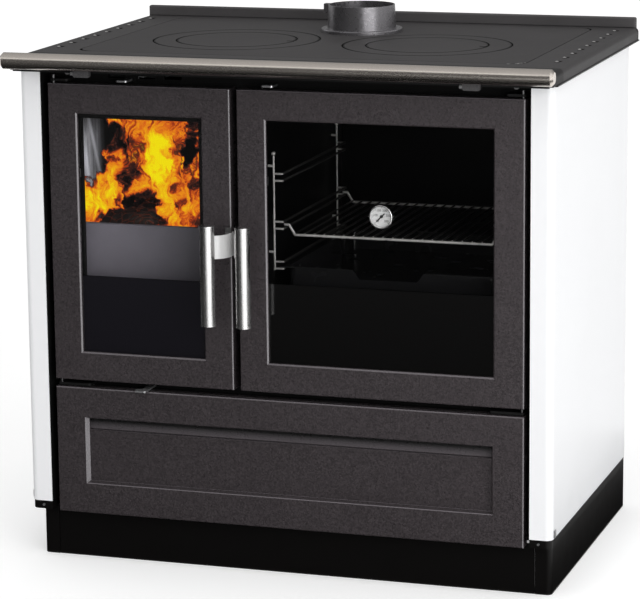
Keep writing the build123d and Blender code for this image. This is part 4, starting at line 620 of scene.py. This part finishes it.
def flame_material(name, seed, lean):
    """Flames painted by drawn-out noise: clear where cool, red, orange, yellow where hot."""
    s = Shader(name)
    x, y, z = s.axes()
    shifted = s.joined(s.maths("ADD", x, seed), 0.3 * seed, z)
    sway = s.maths("SUBTRACT", s.noise(16.0, 2.0, 0.5, shifted), 0.5)
    curl = s.maths("SUBTRACT", s.noise(42.0, 3.0, 0.6, shifted), 0.5)
    over = s.maths("ADD", s.maths("MULTIPLY", sway, 0.10), s.maths("MULTIPLY", curl, 0.045))
    rise = s.maths("MULTIPLY", curl, 0.05)
    warped = s.joined(s.maths("ADD", s.maths("ADD", x, over), seed), seed,
                      s.maths("MULTIPLY", s.maths("ADD", z, rise), 0.45))
    body = s.noise(20.0, 3.0, 0.55, warped)
    threads = s.noise(88.0, 4.0, 0.64, warped)
    heat = s.maths("ADD", s.maths("MULTIPLY", body, 0.42), s.maths("MULTIPLY", threads, 0.78))
    heat = s.maths("ADD", heat, -0.045)
    near_x = s.maths("ADD", x, s.maths("MULTIPLY", curl, 0.05))
    near_z = s.maths("ADD", z, s.maths("MULTIPLY", sway, 0.06))
    for lick_x, lick_z, wide, tall, gain in LICKS:
        a = s.spread(near_x, lick_x + lean[0] - wide, lick_x + lean[0] + wide, -1.0, 1.0)
        b = s.spread(near_z, lick_z + lean[1] - tall, lick_z + lean[1] + tall, -1.0, 1.0)
        heat = s.maths("ADD", heat, s.spread(s.squares(a, b), 0.25, 1.15, gain, 0.0, True))
    colour = s.ramp(heat, [
        (0.30, (0.012, 0.006, 0.007)), (0.40, (0.07, 0.018, 0.010)), (0.46, (0.33, 0.035, 0.008)),
        (0.52, (0.74, 0.13, 0.010)), (0.60, (0.88, 0.29, 0.008)), (0.69, (0.93, 0.50, 0.006)),
        (0.80, (0.97, 0.80, 0.004))])
    glow = s.node("Emission")
    s.put(glow.inputs["Color"], colour)
    glow.inputs["Strength"].default_value = 1.0
    clear = s.node("BsdfTransparent")
    solid = s.spread(heat, 0.22, 0.42, 0.0, 1.0, True)
    return s.done(s.blend(solid, clear.outputs[0], glow.outputs[0]))


def flame_sheet(name, y, x_span, z_span, material, ripple):
    """Rippled upright sheet on which the flames are painted."""
    across, up = 48, 60

    def make(shape):
        rows = []
        for j in range(up + 1):
            z = z_span[0] + (z_span[1] - z_span[0]) * j / up
            row = []
            for i in range(across + 1):
                x = x_span[0] + (x_span[1] - x_span[0]) * i / across
                wave = noise.noise(Vector((x * 22, y * 31, z * 14))) * ripple
                row.append(shape.verts.new((x, y + wave, z)))
            rows.append(row)
        skin(shape, rows)

    sheet = make_object(name, make, material, "stove")
    sheet.visible_diffuse = False
    sheet.visible_glossy = False
    return sheet


def log_material(name):
    """Charred bark with glowing cracks."""
    s = Shader(name)
    bark = s.noise(60.0, 5.0, 0.65, s.stretched((0.35, 1.0, 1.0)))
    cracks = s.voronoi(70.0, s.stretched((0.5, 1.2, 1.2)), "DISTANCE_TO_EDGE")
    base = s.ramp(bark, [(0.3, (0.004, 0.003, 0.003)), (0.55, (0.022, 0.013, 0.010)),
                         (0.75, (0.07, 0.04, 0.028))])
    hot = s.spread(cracks, 0.0, 0.05, 1.0, 0.0, True)
    glow = s.mix(hot, BLACK, (0.7, 0.09, 0.01))
    normal = s.bump(s.maths("ADD", bark, s.spread(cracks, 0.0, 0.12)), 0.002)
    return s.done(s.principled(Base_Color=base, Roughness=0.9, Normal=normal,
                               Emission_Color=glow, Emission_Strength=0.12))


def make_log(name, middle, length, radius, turn, tilt, seed, material):
    """Split log: a rough round with one flat side and broken ends."""
    around, along = 28, 26

    def make(shape):
        rings = []
        for j in range(along + 1):
            t = -1 + 2 * j / along
            ring = []
            for i in range(around):
                a = 2 * math.pi * i / around
                r = radius * (0.72 if math.cos(a - 0.6) > 0.8 else 1.0)
                rough = noise.fractal(Vector((t * 3 + seed, math.cos(a) * 2, math.sin(a) * 2)),
                                      0.8, 2.1, 4)
                r *= 1 + 0.13 * rough
                end = 1 - 0.25 * max(0.0, abs(t) - 0.9) / 0.1
                x = t * length / 2 + 0.006 * noise.noise(Vector((a * 2, seed, t)))
                ring.append(shape.verts.new((x, r * end * math.cos(a), r * end * math.sin(a))))
            rings.append(ring)
        for a, b in zip(rings, rings[1:]):
            for i in range(around):
                k = (i + 1) % around
                shape.faces.new((a[i], b[i], b[k], a[k])).smooth = True
        shape.faces.new(list(reversed(rings[-1])))
        shape.faces.new(rings[0])
        bmesh.ops.recalc_face_normals(shape, faces=shape.faces)
        place = (Matrix.Translation(middle) @ Matrix.Rotation(math.radians(turn), 4, "Z")
                 @ Matrix.Rotation(math.radians(tilt), 4, "Y"))
        bmesh.ops.transform(shape, matrix=place, verts=shape.verts)

    make_object(name, make, material, "stove")


def ember_bed(name, x_span, y_span, z, material):
    """Low mound of coals on the grate."""
    cells = 54

    def make(shape):
        rows = []
        for j in range(cells + 1):
            y = y_span[0] + (y_span[1] - y_span[0]) * j / cells
            row = []
            for i in range(cells + 1):
                x = x_span[0] + (x_span[1] - x_span[0]) * i / cells
                lump = noise.cell(Vector((x * 70, y * 70, 0)))
                rise = 0.012 + 0.012 * lump + 0.010 * noise.noise(Vector((x * 60, y * 60, 3)))
                rim = min(1.0, 6 * min(i, cells - i, j, cells - j) / cells)
                row.append(shape.verts.new((x, y, z + 0.001 + rise * rim)))
            rows.append(row)
        skin(shape, rows)

    make_object(name, make, material, "stove")


_, grate_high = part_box("grate")
_, guard_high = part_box("log_guard")
brick_low, brick_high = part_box("fire_bricks")
BRICK_T = 0.030          # thickness of the side linings
left_wall = brick_low.x + BRICK_T
right_wall = brick_high.x - BRICK_T
wood = log_material("charred_log")
bed_z = grate_high.z
ember_bed("embers", (left_wall + 0.012, right_wall - 0.012),
          (guard_high.y + 0.004, grate_high.y - 0.01), bed_z, wood)
make_log("log_front", (-0.296, -0.155, bed_z + 0.054), 0.145, 0.038, -30, -2, 1.0, wood)
make_log("log_back", (-0.238, -0.050, bed_z + 0.050), 0.18, 0.036, -8, 2, 5.0, wood)
make_log("log_top", (-0.205, -0.020, bed_z + 0.098), 0.13, 0.028, 22, 5, 9.0, wood)

SHEET_X = (-0.386, -0.100)
FRONT_SHEET_Y = -0.2115
LINE_OF_SIGHT = (-0.37, -0.156)      # shift in x and z for each metre back, as the photo sees it
for name, y, ripple, seed in (("flame_front", FRONT_SHEET_Y, 0.003, 0.7),
                              ("flame_rear", -0.02, 0.03, 3.1)):
    deep = y - FRONT_SHEET_Y
    lean = (LINE_OF_SIGHT[0] * deep, LINE_OF_SIGHT[1] * deep)
    material = flame_material(name + "_glow", seed, lean)
    span = (max(SHEET_X[0], left_wall + 0.003), right_wall - 0.003) if deep else SHEET_X
    flame_sheet(name, y, span, (bed_z + 0.02, brick_high.z), material, ripple)


# ---------------------------------------------------------------- thermometer dial

DIAL_START = 225         # angle of the lowest mark, in degrees; the marks run clockwise
TICKS = 31
TICK_STEP = 9
NUMBERS = ("50", "100", "150", "200", "250", "300")
NUMBER_STEP = 54
NUMBER_SIZE = 0.0052


def dial_print():
    """Ticks and round numbers on the oven thermometer."""
    low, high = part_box("thermo_dial")
    middle = (low + high) / 2
    front = low.y - 0.0002
    radius = (high.z - low.z) / 2

    def spot(angle, r):
        a = math.radians(angle)
        return Vector((middle.x + r * math.cos(a), front, middle.z + r * math.sin(a)))

    def ticks(shape):
        for i in range(TICKS):
            angle = DIAL_START - TICK_STEP * i
            big = i % 5 == 0
            inner = radius * (0.80 if big else 0.88)
            width = 0.0003 if big else 0.00015
            a = math.radians(angle)
            side = Vector((-math.sin(a), 0, math.cos(a))) * width
            p, q = spot(angle, inner), spot(angle, radius * 0.96)
            lift = Vector((0, -0.0001, 0))
            ends = [p - side, q - side, q + side, p + side]
            top = [shape.verts.new(v + lift) for v in ends]
            bottom = [shape.verts.new(v) for v in ends]
            shape.faces.new(top)
            shape.faces.new(list(reversed(bottom)))
            for k in range(4):
                n = (k + 1) % 4
                shape.faces.new((top[n], top[k], bottom[k], bottom[n]))
        bmesh.ops.recalc_face_normals(shape, faces=shape.faces)

    make_object("dial_ticks", ticks, M["ink"], "oven_door")
    for i, number in enumerate(NUMBERS):
        text = bpy.data.curves.new("dial_number", "FONT")
        text.body = number
        text.size = NUMBER_SIZE
        text.align_x, text.align_y = "CENTER", "CENTER"
        text.extrude = 0.00005
        label = bpy.data.objects.new("dial_number_" + number, text)
        scene.collection.objects.link(label)
        angle = DIAL_START - NUMBER_STEP * i
        label.location = spot(angle, radius * 0.62) + Vector((0, 0.0001, 0))
        label.rotation_euler = (math.radians(90), 0, 0)
        text.materials.append(M["ink"])
        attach(label, "oven_door")


dial_print()


# ---------------------------------------------------------------- stage

def stage_material(name, colour, strength):
    """Matt surface that the camera, mirrors and clear things see as near white."""
    s = Shader(name)
    matt = s.node("BsdfDiffuse")
    matt.inputs["Color"].default_value = (*colour, 1)
    seen = s.node("LightPath").outputs
    share = s.maths("MAXIMUM", s.maths("MAXIMUM", seen["Is Camera Ray"], seen["Is Glossy Ray"]),
                    seen["Is Transmission Ray"])
    far = s.node("VectorMath", operation="LENGTH")
    s.put(far.inputs[0], s.place)
    graded = s.spread(far.outputs["Value"], 1.0, 4.5, *strength)
    lift = s.node("Emission")
    s.put(lift.inputs["Strength"], s.maths("MULTIPLY", share, graded))
    both = s.node("AddShader")
    s.put(both.inputs[0], matt.outputs[0])
    s.put(both.inputs[1], lift.outputs[0])
    return s.done(both.outputs[0])


def card(name, corners, material, seen_by_camera=False):
    """Flat stage piece."""
    data = bpy.data.meshes.new(name)
    data.from_pydata([Vector(c) for c in corners], [], [list(range(len(corners)))])
    data.materials.append(material)
    piece = bpy.data.objects.new(name, data)
    scene.collection.objects.link(piece)
    if not seen_by_camera:
        for ray in ("camera", "diffuse", "transmission", "volume_scatter", "shadow"):
            setattr(piece, "visible_" + ray, False)


def flag_material(name, level, fade=None):
    """Studio card; fade is a span of y and the level at its far end."""
    s = Shader(name)
    glow = s.node("Emission")
    if fade:
        level = s.spread(s.axes()[1], fade[0], fade[1], level, fade[2])
    s.put(glow.inputs["Strength"], level)
    return s.done(glow.outputs[0])


FLOOR = 14.0             # half width of the floor
LYING_Z = 0.002          # flags on the floor, seen only in mirrors


def lying_flag(name, corners, material):
    """Flag on the floor, from the x and y of its corners."""
    card(name, [(x, y, LYING_Z) for x, y in corners], material)


card("floor", [(-FLOOR, -FLOOR, 0), (FLOOR, -FLOOR, 0), (FLOOR, FLOOR, 0), (-FLOOR, FLOOR, 0)],
     stage_material("floor_white", (0.84, 0.84, 0.84), (0.36, 0.54)), True)
dark = flag_material("flag_dark", 0.012)
dim = flag_material("flag_dim", 0.13)
lying_flag("flag_floor", [(-3.35, -6.6), (-1.05, -6.6), (0.62, -0.75), (-0.85, -0.75)],
           flag_material("flag_floor", 0.035, (-0.75, -3.0, 0.11)))
lying_flag("flag_plinth", [(-0.85, -0.75), (0.62, -0.75), (0.58, 0.8), (-0.7, 0.8)], dark)
lying_flag("flag_side", [(-4.6, -6.6), (-3.35, -6.6), (-0.85, -0.75), (-0.7, 0.8), (-4.6, 0.8)],
           flag_material("flag_side", 0.03))
lying_flag("flag_right", [(1.5, -0.9), (4.6, -0.9), (4.6, 1.2), (1.5, 1.2)],
           flag_material("flag_right", 0.08))
card("flag_left", [(-3.4, -5.6, 0), (-3.4, 0.6, 0), (-3.4, 0.6, 3.4), (-3.4, -5.6, 3.4)], dark)
card("flag_front", [(-6.0, -6.6, 0), (3.2, -6.6, 0), (3.2, -6.6, 4.6), (-6.0, -6.6, 4.6)], dim)
card("flag_top", [(-6.0, -4.2, 5.0), (6.0, -4.2, 5.0), (6.0, 6.0, 5.0), (-6.0, 6.0, 5.0)],
     flag_material("flag_top", 0.60, (-4.2, 3.0, 0.42)))
card("flag_back", [(-9.0, 6.0, 0.3), (5.0, 6.0, 0.3), (5.0, 6.0, 5.0), (-9.0, 6.0, 5.0)],
     flag_material("flag_back", 0.3))


def lamp(name, place, aim, size, watts, mirrored=True):
    """Soft area lamp; one that isn't mirrored leaves no highlight."""
    data = bpy.data.lights.new(name, "AREA")
    data.shape = "RECTANGLE"
    data.size, data.size_y = size
    data.energy = watts
    piece = bpy.data.objects.new(name, data)
    scene.collection.objects.link(piece)
    piece.location = place
    piece.rotation_euler = (Vector(aim) - Vector(place)).to_track_quat("-Z", "Y").to_euler()
    piece.visible_glossy = mirrored


lamp("key", (2.95, -2.95, 1.35), (0, 0, 0.5), (3.2, 2.4), 71)
lamp("top", (0.4, -0.6, 3.0), (0, 0, 0.6), (3.0, 2.4), 26, mirrored=False)


def make_world(light, seen):
    """Even light; the camera, mirrors and clear things see the brighter level."""
    world = bpy.data.worlds.new("studio")
    scene.world = world
    world.use_nodes = True
    nodes, links = world.node_tree.nodes, world.node_tree.links
    nodes.clear()
    sky = nodes.new("ShaderNodeBackground")
    sky.inputs["Color"].default_value = (1, 1, 1, 1)
    rays = nodes.new("ShaderNodeLightPath").outputs
    share = rays["Is Camera Ray"]
    for kind in ("Is Glossy Ray", "Is Transmission Ray"):
        either = nodes.new("ShaderNodeMath")
        either.operation = "MAXIMUM"
        links.new(share, either.inputs[0])
        links.new(rays[kind], either.inputs[1])
        share = either.outputs[0]
    level = nodes.new("ShaderNodeMapRange")
    level.inputs["To Min"].default_value = light
    level.inputs["To Max"].default_value = seen
    links.new(share, level.inputs["Value"])
    links.new(level.outputs["Result"], sky.inputs["Strength"])
    sky_out = nodes.new("ShaderNodeOutputWorld")
    links.new(sky.outputs[0], sky_out.inputs["Surface"])


make_world(light=0.62, seen=1.0)


# ---------------------------------------------------------------- camera

CAMERA_PLACE = (1.493, -4.6585, 1.447)
CAMERA_TURN = (18.04, 11.94, -0.59)          # yaw to the left, pitch down, roll, in degrees
FOCAL_PX = 2943                              # focal length, for an image IMAGE_PX wide
IMAGE_PX = 640
SENSOR_MM = 36.0


def make_camera():
    yaw, pitch, roll = (math.radians(a) for a in CAMERA_TURN)
    ahead = Vector((-math.sin(yaw) * math.cos(pitch), math.cos(yaw) * math.cos(pitch),
                    -math.sin(pitch)))
    side = Vector((math.cos(yaw), math.sin(yaw), 0))
    up = side.cross(ahead)
    right = side * math.cos(roll) + up * math.sin(roll)
    top = up * math.cos(roll) - side * math.sin(roll)
    data = bpy.data.cameras.new("camera")
    data.sensor_width = SENSOR_MM
    data.lens = FOCAL_PX / IMAGE_PX * SENSOR_MM
    data.clip_end = 100.0
    camera = bpy.data.objects.new("camera", data)
    scene.collection.objects.link(camera)
    turned = Matrix((right, top, -ahead)).transposed().to_4x4()
    turned.translation = CAMERA_PLACE
    camera.matrix_world = turned
    scene.camera = camera


make_camera()
